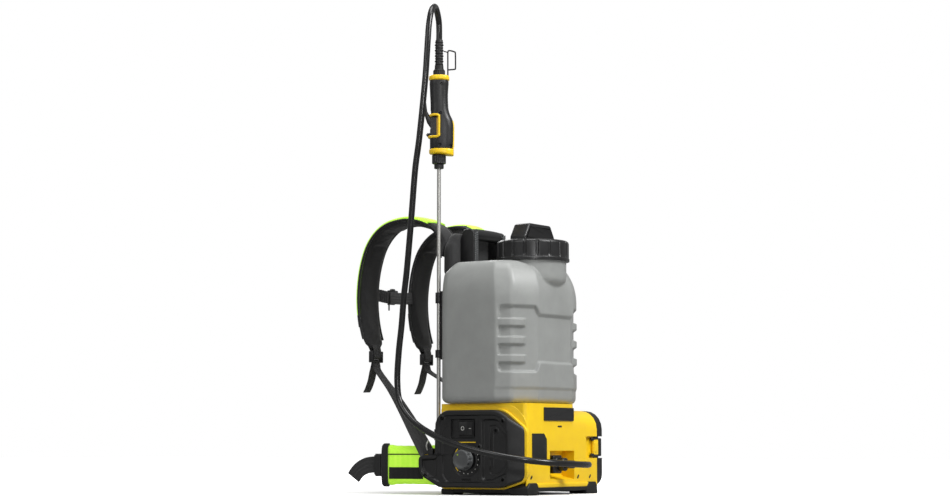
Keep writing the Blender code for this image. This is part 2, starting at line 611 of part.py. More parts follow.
def tank_ring(height, side, front, back, step=0.0):
    """One level of the tank: the plan outline drawn in by three insets and a step on the front."""
    plan = filleted([
        (-TANK_HALF_X, TANK_BACK_Y, 0.026), (-TANK_HALF_X, TANK_FRONT_Y + 0.042, 0.014),
        (-TANK_HALF_X + 0.020, TANK_FRONT_Y + 0.012, 0.034), (-0.061, TANK_FRONT_Y, 0.030),
        (0.061, TANK_FRONT_Y, 0.030), (TANK_HALF_X - 0.020, TANK_FRONT_Y + 0.012, 0.034),
        (TANK_HALF_X, TANK_FRONT_Y + 0.042, 0.014), (TANK_HALF_X, TANK_BACK_Y, 0.026),
    ], 3)
    depth = TANK_BACK_Y - TANK_FRONT_Y
    ring = []
    for x, y in plan:
        share = (y - TANK_FRONT_Y) / depth
        pulled = step * max(0.0, min(1.0, (0.45 - share) / 0.15))
        across = 1.0 - (side + pulled) / TANK_HALF_X
        place = TANK_FRONT_Y + front + pulled + share * (depth - front - pulled - back)
        level = height(x) if callable(height) else height
        ring.append((x * across, place, level))
    return ring


def band_edge(wide, narrow):
    """The recessed band is taller on the corners than on the flat front."""
    def height(x):
        share = max(0.0, min(1.0, (abs(x) - 0.061) / 0.014))
        return TANK_LOW_Z + narrow + share * (wide - narrow)
    return height


def build_tank(root, paint):
    low = TANK_LOW_Z
    top = TANK_TOP_Z
    tank = solid("tank", loft([
        tank_ring(low, 0.012, 0.012, 0.012), tank_ring(low + 0.004, 0.005, 0.005, 0.005),
        tank_ring(low + 0.013, 0.0, 0.0, 0.0),
        tank_ring(band_edge(0.058, 0.076), 0.0, 0.0, 0.0),
        tank_ring(band_edge(0.066, 0.084), 0.0, 0.0, 0.0, TANK_STEP),
        tank_ring(band_edge(0.188, 0.172), 0.0, 0.0, 0.0, TANK_STEP),
        tank_ring(band_edge(0.196, 0.180), 0.0, 0.0, 0.0),
        tank_ring(top - 0.078, 0.0, 0.0, 0.0), tank_ring(top - 0.046, 0.003, 0.005, 0.001),
        tank_ring(top - 0.022, 0.011, 0.014, 0.005), tank_ring(top - 0.007, 0.021, 0.028, 0.011),
        tank_ring(top, 0.034, 0.044, 0.020),
    ]), paint["tank"], root)
    neck = cutter("neck_outside", turned([
        (NECK_RADIUS - 0.024, top - 0.062), (NECK_RADIUS, top - 0.036), (NECK_RADIUS, NECK_TOP_Z),
    ], 40, (0.0, NECK_Y)), root)
    combine(tank, neck, "UNION")
    inset = TANK_WALL + TANK_STEP
    inside = cutter("tank_inside", loft([
        tank_ring(low + TANK_WALL, 0.018 + inset, 0.018 + inset, 0.018),
        tank_ring(low + TANK_WALL + 0.014, inset, inset, TANK_WALL),
        tank_ring(top - 0.080, inset, inset, TANK_WALL),
        tank_ring(top - 0.026, inset + 0.014, inset + 0.018, TANK_WALL + 0.008),
        tank_ring(top - TANK_WALL, inset + 0.036, inset + 0.048, TANK_WALL + 0.024),
    ]), root)
    combine(tank, inside, "DIFFERENCE")
    throat = cutter("neck_inside", turned([
        (NECK_RADIUS - 0.028, top - 0.052), (NECK_RADIUS - 0.006, top - 0.028),
        (NECK_RADIUS - 0.006, NECK_TOP_Z + 0.010),
    ], 40, (0.0, NECK_Y)), root)
    combine(tank, throat, "DIFFERENCE")
    combine(tank, cutter("tank_drain", rod(
        0.0088, low - 0.010, low + 0.020, "Z", (0.0, 0.020), 16), root), "DIFFERENCE")

    basket_z = NECK_TOP_Z + GAP
    outer = NECK_RADIUS - 0.010
    solid("strainer_basket", turned([
        (0.0001, basket_z - STRAINER_DEPTH), (outer - 0.003, basket_z - STRAINER_DEPTH), (outer, basket_z),
        (NECK_RADIUS - 0.001, basket_z), (NECK_RADIUS - 0.001, basket_z + STRAINER_WALL),
        (outer - STRAINER_WALL, basket_z + STRAINER_WALL),
        (outer - 0.003 - STRAINER_WALL, basket_z - STRAINER_DEPTH + STRAINER_WALL),
        (0.0001, basket_z - STRAINER_DEPTH + STRAINER_WALL),
    ], 32, (0.0, NECK_Y)), paint["black"], root)

    axis = (0.0, NECK_Y, CAP_LOW_Z)
    seal = turned([
        (NECK_RADIUS - 0.010, SEAL_LOW_Z), (NECK_RADIUS - 0.001, SEAL_LOW_Z),
        (NECK_RADIUS - 0.001, SEAL_LOW_Z + SEAL_THICKNESS), (NECK_RADIUS - 0.010, SEAL_LOW_Z + SEAL_THICKNESS),
    ], 40, (0.0, NECK_Y), True)
    solid("cap_seal", seal, paint["rubber"], root, axis)
    profile = [
        (CAP_RADIUS + 0.001, CAP_LOW_Z), (CAP_RADIUS + 0.001, CAP_LOW_Z + 0.006), (CAP_RADIUS, CAP_LOW_Z + 0.0065),
        (CAP_RADIUS, CAP_TOP_Z - 0.008), (CAP_RADIUS - 0.008, CAP_TOP_Z), (0.0001, CAP_TOP_Z),
        (0.0001, CAP_CEILING_Z), (NECK_RADIUS + 0.0018, CAP_CEILING_Z), (NECK_RADIUS + 0.0018, CAP_LOW_Z),
    ]
    cap = solid("cap", turned(profile, 40, (0.0, NECK_Y), True), paint["black"], root, axis)
    half = CAP_BAR_LENGTH / 2
    crest = CAP_TOP_Z + CAP_BAR_HEIGHT
    bar = cutter("cap_bar", prism([
        (-half, CAP_TOP_Z - 0.002), (half, CAP_TOP_Z - 0.002), (half, CAP_TOP_Z + 0.006),
        (half - 0.015, crest - 0.003), (half - 0.019, crest), (-half + 0.019, crest),
        (-half + 0.015, crest - 0.003), (-half, CAP_TOP_Z + 0.006),
    ], NECK_Y - CAP_BAR_WIDTH / 2, NECK_Y + CAP_BAR_WIDTH / 2, "Y"), root)
    combine(cap, bar, "UNION")


def build_harness(root, paint):
    """Handle, back frame and the soft harness parts."""
    low_y = HANDLE_LOW_Y
    high_y = HANDLE_LOW_Y + HANDLE_DEPTH
    handle = solid("carry_handle", prism(filleted([
        (-HANDLE_HALF_X, HANDLE_LOW_Z, 0.0), (HANDLE_HALF_X, HANDLE_LOW_Z, 0.0),
        (HANDLE_HALF_X, HANDLE_TOP_Z, 0.022), (-HANDLE_HALF_X, HANDLE_TOP_Z, 0.022),
    ], 5), low_y, high_y, "Y"), paint["black"], root)
    combine(handle, cutter("handle_window", prism(filleted([
        (-HANDLE_HALF_X + HANDLE_LEG, HANDLE_LOW_Z + 0.004, 0.004),
        (HANDLE_HALF_X - HANDLE_LEG, HANDLE_LOW_Z + 0.004, 0.004),
        (HANDLE_HALF_X - HANDLE_LEG, HANDLE_TOP_Z - HANDLE_BAR, 0.012),
        (-HANDLE_HALF_X + HANDLE_LEG, HANDLE_TOP_Z - HANDLE_BAR, 0.012),
    ], 4), low_y - 0.010, high_y + 0.010, "Y"), root), "DIFFERENCE")

    frame_top = TANK_TOP_Z + 0.062
    frame = solid("back_frame", prism(filleted([
        (-FRAME_HALF_X, FRAME_LOW_Z, 0.020), (FRAME_HALF_X, FRAME_LOW_Z, 0.020),
        (FRAME_HALF_X, TANK_TOP_Z - 0.010, 0.020), (0.052, frame_top, 0.012), (-0.052, frame_top, 0.012),
        (-FRAME_HALF_X, TANK_TOP_Z - 0.010, 0.020),
    ], 4), FRAME_LOW_Y, FRAME_HIGH_Y, "Y"), paint["black"], root)
    combine(frame, cutter("frame_foot", block(
        (-0.060, FRAME_LOW_Y, BARREL_TOP_Z - 0.060), (0.060, FRAME_HIGH_Y - 0.002, FRAME_LOW_Z + 0.020)), root),
        "UNION")
    combine(frame, cutter("frame_foot_clear", block(
        (-0.070, FRAME_LOW_Y - 0.010, BARREL_TOP_Z - 0.070), (0.070, BASE_BACK_Y + GAP, DECK_TOP_Z + 0.001)), root),
        "DIFFERENCE")
    pad_low = FRAME_LOW_Z + 0.020
    pad_high = TANK_TOP_Z - 0.020
    pad = solid("back_pad", block(
        (-PAD_HALF_X, PAD_LOW_Y, pad_low), (PAD_HALF_X, PAD_LOW_Y + PAD_THICKNESS, pad_high)),
        paint["mesh"], root)
    bevel(pad, 0.006, 2)

    line = [(STRAP_ROOT_Y + away, TANK_TOP_Z + up) for away, up in STRAP_LINE]
    inner_x = STRAP_X - STRAP_WIDTH / 2
    outer_x = STRAP_X + STRAP_WIDTH / 2
    yoke_z = line[0][1]
    yoke = solid("strap_yoke", block(
        (-STRAP_ROOT_LOW_X + GAP, STRAP_ROOT_Y, yoke_z),
        (STRAP_ROOT_LOW_X - GAP, STRAP_ROOT_Y + 0.016, yoke_z + 0.050)),
        paint["mesh"], root)
    bevel(yoke, 0.003, 2)
    end_y, end_z = line[-1]
    chest_z = TANK_TOP_Z - CHEST_DROP
    for side, sign in (("near", -1), ("far", 1)):
        solid(f"shoulder_strap_{side}", shoulder_strap(line, sign, inner_x, outer_x), paint["mesh"], root)
        buckle_z = end_z - 0.0153
        solid(f"strap_adjuster_{side}", block(
            (sign * STRAP_X - 0.019, end_y - 0.006, buckle_z - 0.012),
            (sign * STRAP_X + 0.019, end_y + 0.010, buckle_z + 0.0115), 0.002), paint["black"], root)
        anchor = Vector((BASE_NEAR_X - WEBBING_WIDTH / 2 - 0.001, BASE_BACK_Y + 0.022, LOBE_TOP_Z + 0.0015))
        above = anchor + Vector((0.0, 0.025, 0.050))
        if sign > 0:
            anchor = Vector((STRAP_X - 0.010, BASE_BACK_Y + 0.0022, BARREL_TOP_Z - 0.030))
            above = anchor + Vector((0.0, 0.030, 0.030))
        start = Vector((sign * STRAP_X, end_y + 0.002, buckle_z - 0.012 - 0.0012))
        across = Vector((1.0, 0.0, 0.0))
        leave = start + Vector((0.0, -0.007, -0.014))
        lower = [(start, across)] + [(leave.lerp(above, share), across) for share in (0.0, 0.33, 0.67, 1.0)]
        lower.append((anchor, across))
        webbing = solid(
            f"lower_webbing_{side}", ribbon(lower, WEBBING_WIDTH, WEBBING_THICKNESS), paint["webbing"], root)
        tail = [(start + Vector((0.0, away, drop)), across) for away, drop in (
            (-0.001, -0.0015), (0.004, -0.006), (0.008, -0.022), (0.013, -0.040), (0.023, -0.058))]
        combine(webbing, cutter(
            f"webbing_tail_{side}", ribbon(tail, WEBBING_WIDTH - 0.0004, WEBBING_THICKNESS), root), "UNION")
    chest_back = STRAP_ROOT_Y + 0.193
    chest = [(Vector((place, chest_back, chest_z)), (0.0, 0.0, 1.0)) for place in (-inner_x + GAP, inner_x - GAP)]
    solid("chest_strap", ribbon(chest, WEBBING_WIDTH, WEBBING_THICKNESS), paint["webbing"], root)
    buckle_y = chest_back + WEBBING_THICKNESS / 2 + GAP
    solid("chest_buckle", block(
        (-0.010, buckle_y, chest_z - 0.017), (0.014, buckle_y + 0.006, chest_z + 0.017)), paint["black"], root)
    build_belt(root, paint)


def shoulder_strap(line, sign, inner_x, outer_x):
    """A padded band along the strap's line, narrower at its root beside the lance."""
    above = offset_line(line, -STRAP_THICKNESS / 2)
    below = offset_line(line, STRAP_THICKNESS / 2)
    rings = []
    for index in range(len(line)):
        spread = min(1.0, max(0.0, (index - 1) / 3))
        low = sign * (STRAP_ROOT_LOW_X + (inner_x - STRAP_ROOT_LOW_X) * spread)
        high = sign * (STRAP_ROOT_HIGH_X + (outer_x - STRAP_ROOT_HIGH_X) * spread)
        rings.append([(low, *below[index]), (high, *below[index]), (high, *above[index]), (low, *above[index])])
    return loft(rings)


def build_belt(root, paint):
    inner = -BASE_NEAR_X - GAP
    for side, sign in (("near", -1), ("far", 1)):
        start_y = BASE_BACK_Y + GAP
        line = [(sign * (inner - BELT_THICKNESS / 2), start_y),
                (sign * (inner - BELT_THICKNESS / 2), start_y + 0.040),
                (sign * (inner - BELT_THICKNESS / 2 + 0.007), start_y + 0.080),
                (sign * (inner - BELT_THICKNESS / 2 + 0.022), start_y + BELT_REACH)]
        outline = offset_line(line, BELT_THICKNESS / 2) + offset_line(line, -BELT_THICKNESS / 2)[::-1]
        wing = solid(f"belt_wing_{side}", prism(outline, BELT_LOW_Z, BELT_HIGH_Z, "Z"), paint["lime"], root)
        bevel(wing, 0.004, 2)
        tip = Vector((line[-1][0], line[-1][1], (BELT_LOW_Z + BELT_HIGH_Z) / 2))
        along = (Vector(line[-1]) - Vector(line[-2])).normalized()
        out = tip + Vector((along.x, along.y, 0.0)) * 0.0005
        end = out + Vector((along.x, along.y, 0.0)) * 0.012
        adjuster = solid(f"belt_adjuster_{side}", ribbon(
            [(out, (0, 0, 1)), (end, (0, 0, 1))], 0.046, 0.010), paint["black"], root)
        ahead = Vector((along.x, along.y, 0.0))
        tail = [(end + ahead * away + Vector((0.0, 0.0, drop)), (0.0, lean, 1.0)) for away, drop, lean in (
            (-0.002, 0.0, 0.0), (0.020, -0.002, 0.10), (0.036, -0.008, 0.35), (0.050, -0.020, 0.60))]
        combine(adjuster, cutter(f"belt_tail_{side}", ribbon(tail, 0.034, WEBBING_THICKNESS), root), "UNION")


def build_wand_holders(root, paint):
    """A cup on the base for the nozzle and a clip on the tank's back for the lance."""
    outer = NOZZLE_RADIUS + GAP + CRADLE_WALL
    low = NOZZLE_LOW_Z - 0.004
    cradle = solid("wand_cradle", rod(outer, low, low + CRADLE_HEIGHT, "Z", (WAND_X, WAND_Y), 24),
                   paint["black"], root)
    combine(cradle, cutter("cradle_bore", rod(
        NOZZLE_RADIUS + GAP, low + 0.0037, low + CRADLE_HEIGHT + 0.010, "Z", (WAND_X, WAND_Y), 24), root),
        "DIFFERENCE")
    web = block((WAND_X - 0.004, BASE_BACK_Y + GAP, low), (WAND_X + 0.004, WAND_Y - NOZZLE_RADIUS - 0.001,
                                                           low + CRADLE_HEIGHT))
    combine(cradle, cutter("cradle_web", web, root), "UNION")

    rail_high = TANK_TOP_Z - 0.058
    rail_low = rail_high - 0.138
    rail_x = -FRAME_HALF_X
    clip = solid("wand_clip", block(
        (WAND_X - 0.010, TANK_BACK_Y + 0.0005, rail_low), (rail_x - GAP, TANK_BACK_Y + 0.0045, rail_high)),
        paint["black"], root)
    for index, (bottom, top) in enumerate(((rail_low + 0.004, rail_low + 0.020),
                                           (rail_high - 0.024, rail_high - 0.002))):
        arc = [math.radians(angle) for angle in range(-230, 51, 20)]
        thick = 0.0025
        inside = LANCE_RADIUS + 0.0004
        jaw = [(WAND_X + inside * math.cos(angle), WAND_Y + inside * math.sin(angle)) for angle in arc]
        jaw += [(WAND_X + (inside + thick) * math.cos(angle), WAND_Y + (inside + thick) * math.sin(angle))
                for angle in arc[::-1]]
        jaws = cutter(f"clip_jaws_{index}", prism(jaw, bottom, top, "Z"), root)
        combine(clip, jaws, "UNION")
        stem = cutter(f"clip_stem_{index}", block(
            (WAND_X - 0.002, TANK_BACK_Y + 0.003, bottom), (WAND_X + 0.002, WAND_Y - inside - 0.0005, top)), root)
        combine(clip, stem, "UNION")


def wand_section(height, low, high, half):
    """A rounded section of the handle between two places on its own x axis."""
    middle = (low + high) / 2
    reach = (high - low) / 2
    ring = []
    for index in range(24):
        angle = 2 * math.pi * index / 24
        bulge_x = math.copysign(abs(math.cos(angle)) ** 0.8, math.cos(angle))
        bulge_y = math.copysign(abs(math.sin(angle)) ** 0.8, math.sin(angle))
        ring.append((middle + reach * bulge_x, half * bulge_y, height))
    return ring


def build_wand(root, paint):
    """The wand, drawn about its own axis with +x towards the trigger."""
    wand = empty("wand_axis", (WAND_X, WAND_Y, 0.0), WAND_TURN, root)
    g = GRIP_LOW_Z
    solid("nozzle_tip", turned([
        (0.0040, NOZZLE_LOW_Z), (NOZZLE_RADIUS, NOZZLE_LOW_Z + 0.003),
        (NOZZLE_RADIUS, NOZZLE_LOW_Z + NOZZLE_HEIGHT - 0.004), (0.0052, NOZZLE_LOW_Z + NOZZLE_HEIGHT),
    ], 24), paint["brass"], wand)
    solid("lance", rod(LANCE_RADIUS, LANCE_LOW_Z, LANCE_LOW_Z + LANCE_LENGTH, "Z", (0.0, 0.0), 24),
          paint["steel"], wand)
    bore = LANCE_RADIUS + GAP
    n = NUT_LOW_Z
    solid("wand_nut", turned([
        (bore, n), (0.0098, n), (0.0098, n + 0.0095), (NUT_RADIUS, n + 0.0115), (NUT_RADIUS, n + 0.028),
        (0.0120, n + 0.0300), (bore, n + 0.0300),
    ], 24, closed=True), paint["black"], wand)
    lance_bore = cutter("lance_socket", rod(
        LANCE_RADIUS + GAP, n - 0.010, LANCE_LOW_Z + LANCE_LENGTH + GAP, "Z", (0.0, 0.0), 24), wand)
    ring_low = n + 0.0303
    collar = solid("handle_collar", loft([
        wand_section(ring_low, -0.0270, 0.0190, 0.0180), wand_section(ring_low + 0.010, -0.0285, 0.0190, 0.0185),
    ]), paint["yellow"], wand)
    combine(collar, lance_bore, "DIFFERENCE")
    sections = [
        (0.0003, -0.0285, 0.0185, 0.0180), (0.030, -0.0295, 0.0185, 0.0190), (0.058, -0.0290, 0.0175, 0.0185),
        (0.076, -0.0215, 0.0175, 0.0180), (0.092, -0.0185, 0.0175, 0.0175), (0.110, -0.0180, 0.0185, 0.0180),
        (0.136, -0.0195, 0.0195, 0.0190), (0.1405, -0.0195, 0.0195, 0.0190),
    ]
    for name, low, high in (("handle_left", -0.050, -GAP / 2), ("handle_right", GAP / 2, 0.050)):
        half = solid(name, loft([wand_section(g + up, a, b, w) for up, a, b, w in sections]), paint["black"], wand)
        combine(half, cutter(name + "_side", block((-0.060, low, g - 0.010), (0.060, high, g + 0.160)), wand),
                "INTERSECT")
        combine(half, cutter(name + "_valve_space", rod(
            VALVE_RADIUS + GAP, g + 0.012, g + 0.160, "Z", (0.0, 0.0), 24), wand), "DIFFERENCE")
        combine(half, lance_bore, "DIFFERENCE")
        combine(half, cutter(name + "_trigger_slot", block(
            (0.0085, -0.0058, g + 0.0405), (0.060, 0.0058, g + 0.080)), wand), "DIFFERENCE")
    solid("wand_valve", rod(VALVE_RADIUS, g + 0.0125, GRIP_TOP_Z + 0.009, "Z", (0.0, 0.0), 24), paint["brass"], wand)
    band = turned([
        (VALVE_RADIUS + GAP, g + 0.1408), (0.0202, g + 0.1408), (0.0202, g + 0.1508), (VALVE_RADIUS + GAP, g + 0.1508),
    ], 28, closed=True)
    solid("handle_band", band, paint["yellow"], wand)
    top = g + 0.1511
    ribs = [(0.0066, top), (0.0122, top), (0.0122, top + 0.011), (0.0096, top + 0.013), (0.0096, top + 0.022)]
    for index in range(8):
        start = top + 0.0225 + 0.006 * index
        ribs += [(0.0089, start), (0.0089, start + 0.0035), (0.0074, start + 0.0040), (0.0074, start + 0.0055)]
    ribs += [(0.0074, WAND_TOP_Z), (0.0066, WAND_TOP_Z)]
    solid("strain_relief", turned([(0.0066, top), *ribs[1:]], 20, closed=True), paint["rubber"], wand)

    # Trigger guard: a U-shaped frame on the handle's front, open at the top for the trigger's stroke.
    guard_x = 0.0192
    guard_low = g + 0.036
    guard = solid("trigger_guard", block(
        (guard_x + 0.0003, -0.0125, guard_low), (guard_x + 0.0045, 0.0125, guard_low + 0.050)), paint["yellow"], wand)
    combine(guard, cutter("guard_window", block(
        (0.0, -0.0070, guard_low + 0.0045), (0.050, 0.0070, guard_low + 0.0600)), wand), "DIFFERENCE")
    pivot = (0.0135, 0.0, g + 0.050)
    trigger_profile = filleted([
        (0.0100, g + 0.043, 0.003), (0.0170, g + 0.043, 0.004), (0.0245, g + 0.054, 0.010),
        (0.0305, g + 0.072, 0.010), (0.0325, g + 0.100, 0.010), (0.0310, g + 0.126, 0.002),
        (0.0260, g + 0.126, 0.002), (0.0262, g + 0.100, 0.010), (0.0235, g + 0.078, 0.010),
        (0.0165, g + 0.063, 0.006), (0.0100, g + 0.057, 0.003),
    ], 3)
    solid("trigger", prism(trigger_profile, -0.0053, 0.0053, "Y"), paint["black"], wand, pivot)
    lock_z = g + 0.029
    solid("trigger_lock", rod(0.0040, 0.0188, 0.0245, "X", (0.0, lock_z), 16), paint["black"], wand,
          (0.0188, 0.0, lock_z))
    build_hook(wand, paint, g)


def build_hook(wand, paint, g):
    """The wire bail: one closed rectangle of wire on a leg that stands on the handle band."""
    low = g + 0.1511
    route = [(-0.0178, 0.0, low), (-0.0178, 0.0, low + 0.050), (-0.0200, 0.0, low + 0.0525),
             (-0.0300, 0.0, low + 0.0505), (-0.0330, 0.0, low + 0.0470), (-0.0335, 0.0, low + 0.0160),
             (-0.0315, 0.0, low + 0.0135), (-0.0215, 0.0, low + 0.0125)]
    curve = bpy.data.curves.new("wire_hook", "CURVE")
    curve.dimensions = "3D"
    curve.bevel_depth = 0.0013
    curve.bevel_resolution = 1
    curve.use_fill_caps = True
    spline = curve.splines.new("POLY")
    spline.points.add(len(route) - 1)
    pivot = Vector((-0.0178, 0.0, low))
    for point, place in zip(spline.points, route):
        point.co = (*(Vector(place) - pivot), 1.0)
    curve.materials.append(paint["steel"])
    hook = bpy.data.objects.new("wire_hook", curve)
    hook.location = pivot
    hook.parent = wand
    bpy.context.scene.collection.objects.link(hook)


def build_hose(root, paint):
    """The free hose and the two fittings at its base end."""
    curve = bpy.data.curves.new("hose", "CURVE")
    curve.dimensions = "3D"
    curve.bevel_depth = HOSE_RADIUS
    curve.bevel_resolution = 3
    curve.use_fill_caps = True
    spline = curve.splines.new("POLY")
    places = smooth_route(HOSE_ROUTE, HOSE_POINTS)
    spline.points.add(len(places) - 1)
    for point, place in zip(spline.points, places):
        point.co = (*place, 1.0)
    curve.materials.append(paint["rubber"])
    hose = bpy.data.objects.new("hose", curve)
    hose.parent = root
    bpy.context.scene.collection.objects.link(hose)

    # The fitting is a round body on the recess floor with a barb turned out towards the hose.
    body_top = BASE_FRONT_Y + 0.004
    fitting = solid("outlet_elbow", rod(
        FITTING_RADIUS, body_top, RECESS_Y - GAP, "Y", (FITTING_X, FITTING_Z), 24), paint["black"], root)
    end = Vector(HOSE_ROUTE[-1])
    along = (Vector(HOSE_ROUTE[-2]) - end).normalized()
    turn = along.to_track_quat("Z", "Y").to_matrix().to_4x4()
    barb = rod(HOSE_RADIUS + 0.001, -0.036, -0.0115, "Z", (0.0, 0.0), 20)
    bmesh.ops.transform(barb, matrix=Matrix.Translation(end) @ turn, verts=barb.verts)
    combine(fitting, cutter("outlet_barb", barb, root), "UNION")
    nut = rod(HOSE_RADIUS + 0.0028, -0.0112, -0.0003, "Z", (0.0, 0.0), 6)
    bmesh.ops.transform(nut, matrix=Matrix.Translation(end) @ turn, verts=nut.verts)
    solid("hose_nut", nut, paint["black"], root)


HINGE_X = BASE_FAR_X + GAP / 2
HINGE_Y = BASE_BACK_Y + HINGE_OFFSET
HINGE_LOW_Z = BASE_LOW_Z + 0.030
HINGE_HIGH_Z = HINGE_LOW_Z + 0.090
KNUCKLE_SPANS = ((HINGE_LOW_Z, HINGE_LOW_Z + 0.022), (HINGE_HIGH_Z - 0.022, HINGE_HIGH_Z))
SENSOR_X = BASE_NEAR_X - 0.006


def main():
    clear_scene()
    paint = materials()
    root = empty("sprayer_origin", (-ORIGIN_X, -ORIGIN_Y, 0.0))
    build_base(root, paint)
    build_inside(root, paint)
    build_panel(root, paint)
    build_door(root, paint)
    build_tank(root, paint)
    build_harness(root, paint)
    build_wand_holders(root, paint)
    build_wand(root, paint)
    build_hose(root, paint)


main()
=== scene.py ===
import math
import bpy
import bmesh
import numpy as np
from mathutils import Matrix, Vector
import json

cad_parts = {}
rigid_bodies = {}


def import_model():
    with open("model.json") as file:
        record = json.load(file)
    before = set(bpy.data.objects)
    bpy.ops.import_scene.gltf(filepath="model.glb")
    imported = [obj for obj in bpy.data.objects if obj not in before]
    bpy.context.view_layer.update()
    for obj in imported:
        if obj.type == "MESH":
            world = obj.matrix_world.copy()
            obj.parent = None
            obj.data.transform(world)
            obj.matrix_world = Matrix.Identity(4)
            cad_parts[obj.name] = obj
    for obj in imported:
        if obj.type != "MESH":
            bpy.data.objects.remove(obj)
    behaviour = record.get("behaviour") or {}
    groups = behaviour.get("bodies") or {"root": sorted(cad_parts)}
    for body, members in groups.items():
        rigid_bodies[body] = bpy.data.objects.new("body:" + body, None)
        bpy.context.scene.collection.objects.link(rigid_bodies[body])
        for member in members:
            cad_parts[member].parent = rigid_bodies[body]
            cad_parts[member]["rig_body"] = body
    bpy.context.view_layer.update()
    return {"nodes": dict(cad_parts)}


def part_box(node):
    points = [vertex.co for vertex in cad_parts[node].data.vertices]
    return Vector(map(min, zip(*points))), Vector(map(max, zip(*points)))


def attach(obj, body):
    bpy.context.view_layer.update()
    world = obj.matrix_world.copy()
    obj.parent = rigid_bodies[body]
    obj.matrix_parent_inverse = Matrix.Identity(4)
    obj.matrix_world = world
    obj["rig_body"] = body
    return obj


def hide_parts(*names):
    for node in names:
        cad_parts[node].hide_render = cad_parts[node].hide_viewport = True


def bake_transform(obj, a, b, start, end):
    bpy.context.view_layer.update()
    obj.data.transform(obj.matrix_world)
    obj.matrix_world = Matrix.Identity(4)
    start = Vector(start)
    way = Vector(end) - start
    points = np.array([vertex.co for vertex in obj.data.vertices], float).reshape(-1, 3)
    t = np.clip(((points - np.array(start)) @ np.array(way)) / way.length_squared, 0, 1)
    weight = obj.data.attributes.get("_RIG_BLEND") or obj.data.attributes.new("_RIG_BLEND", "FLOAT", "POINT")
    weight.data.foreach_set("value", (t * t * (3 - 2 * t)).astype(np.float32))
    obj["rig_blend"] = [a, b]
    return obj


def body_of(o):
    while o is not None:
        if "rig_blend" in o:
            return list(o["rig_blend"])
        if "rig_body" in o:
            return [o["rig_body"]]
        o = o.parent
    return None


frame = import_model()
print("frame loaded")

# The pieces below are drawn in millimetres about the tank's upright axis, with the floor at zero.
capLow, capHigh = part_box("cap")
tankAxis = np.array([(capLow.x + capHigh.x) / 2, (capLow.y + capHigh.y) / 2 + 0.042, 0.0])


def place(points):
    return np.asarray(points, float) / 1000 + tankAxis


def nodeBox(node):  # a node's corners, in millimetres about the tank's axis
    low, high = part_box(node)
    return (np.array(low) - tankAxis) * 1000, (np.array(high) - tankAxis) * 1000


# colour and node helpers
def linear(hexColour):
    parts = [int(hexColour[i:i + 2], 16) / 255 for i in (1, 3, 5)]
    return tuple(p / 12.92 if p <= 0.04045 else ((p + 0.055) / 1.055) ** 2.4 for p in parts) + (1.0,)


def addNode(tree, kind, settings=None, inputs=None, links=None):
    made = tree.nodes.new(kind)
    for key, value in (settings or {}).items():
        setattr(made, key, value)
    for key, value in (inputs or {}).items():
        made.inputs[key].default_value = value
    for key, source in (links or {}).items():
        tree.links.new(source, made.inputs[key])
    return made


def newMaterial(name):
    made = bpy.data.materials.new(name)
    made.use_nodes = True
    tree = made.node_tree
    return made, tree, tree.nodes["Principled BSDF"], addNode(tree, "ShaderNodeTexCoord")


def perMetre(millimetres):  # a noise texture's scale for features of this size
    return 1000.0 / millimetres


def mouldedPlastic(name, colour, darker, roughness, grain, bump, ior=1.5, coat=0.0, subsurface=0.0):
    # Injection-moulded plastic: a spark-eroded grain, faint flow mottling and slightly uneven gloss.
    made, tree, shader, coords = newMaterial(name)
    mottle = addNode(tree, "ShaderNodeTexNoise",
                     inputs={"Scale": perMetre(34), "Detail": 3.0, "Roughness": 0.6},
                     links={"Vector": coords.outputs["Object"]})
    tint = addNode(tree, "ShaderNodeValToRGB", links={"Fac": mottle.outputs["Fac"]})
    tint.color_ramp.elements[0].position = 0.30
    tint.color_ramp.elements[1].position = 0.72
    tint.color_ramp.elements[0].color = linear(darker)
    tint.color_ramp.elements[1].color = linear(colour)
    tree.links.new(tint.outputs["Color"], shader.inputs["Base Color"])
    fine = addNode(tree, "ShaderNodeTexNoise",
                   inputs={"Scale": perMetre(grain), "Detail": 2.0, "Roughness": 0.55},
                   links={"Vector": coords.outputs["Object"]})
    gloss = addNode(tree, "ShaderNodeMapRange", inputs={
        "From Min": 0.3, "From Max": 0.7, "To Min": roughness - 0.05, "To Max": roughness + 0.06},
        links={"Value": mottle.outputs["Fac"]})
    tree.links.new(gloss.outputs["Result"], shader.inputs["Roughness"])
    relief = addNode(tree, "ShaderNodeBump", inputs={"Strength": bump, "Distance": 0.0004},
                     links={"Height": fine.outputs["Fac"]})
    tree.links.new(relief.outputs["Normal"], shader.inputs["Normal"])
    shader.inputs["IOR"].default_value = ior
    shader.inputs["Coat Weight"].default_value = coat
    shader.inputs["Coat Roughness"].default_value = 0.25
    shader.inputs["Subsurface Weight"].default_value = subsurface
    shader.inputs["Subsurface Radius"].default_value = (0.004, 0.004, 0.004)
    return made


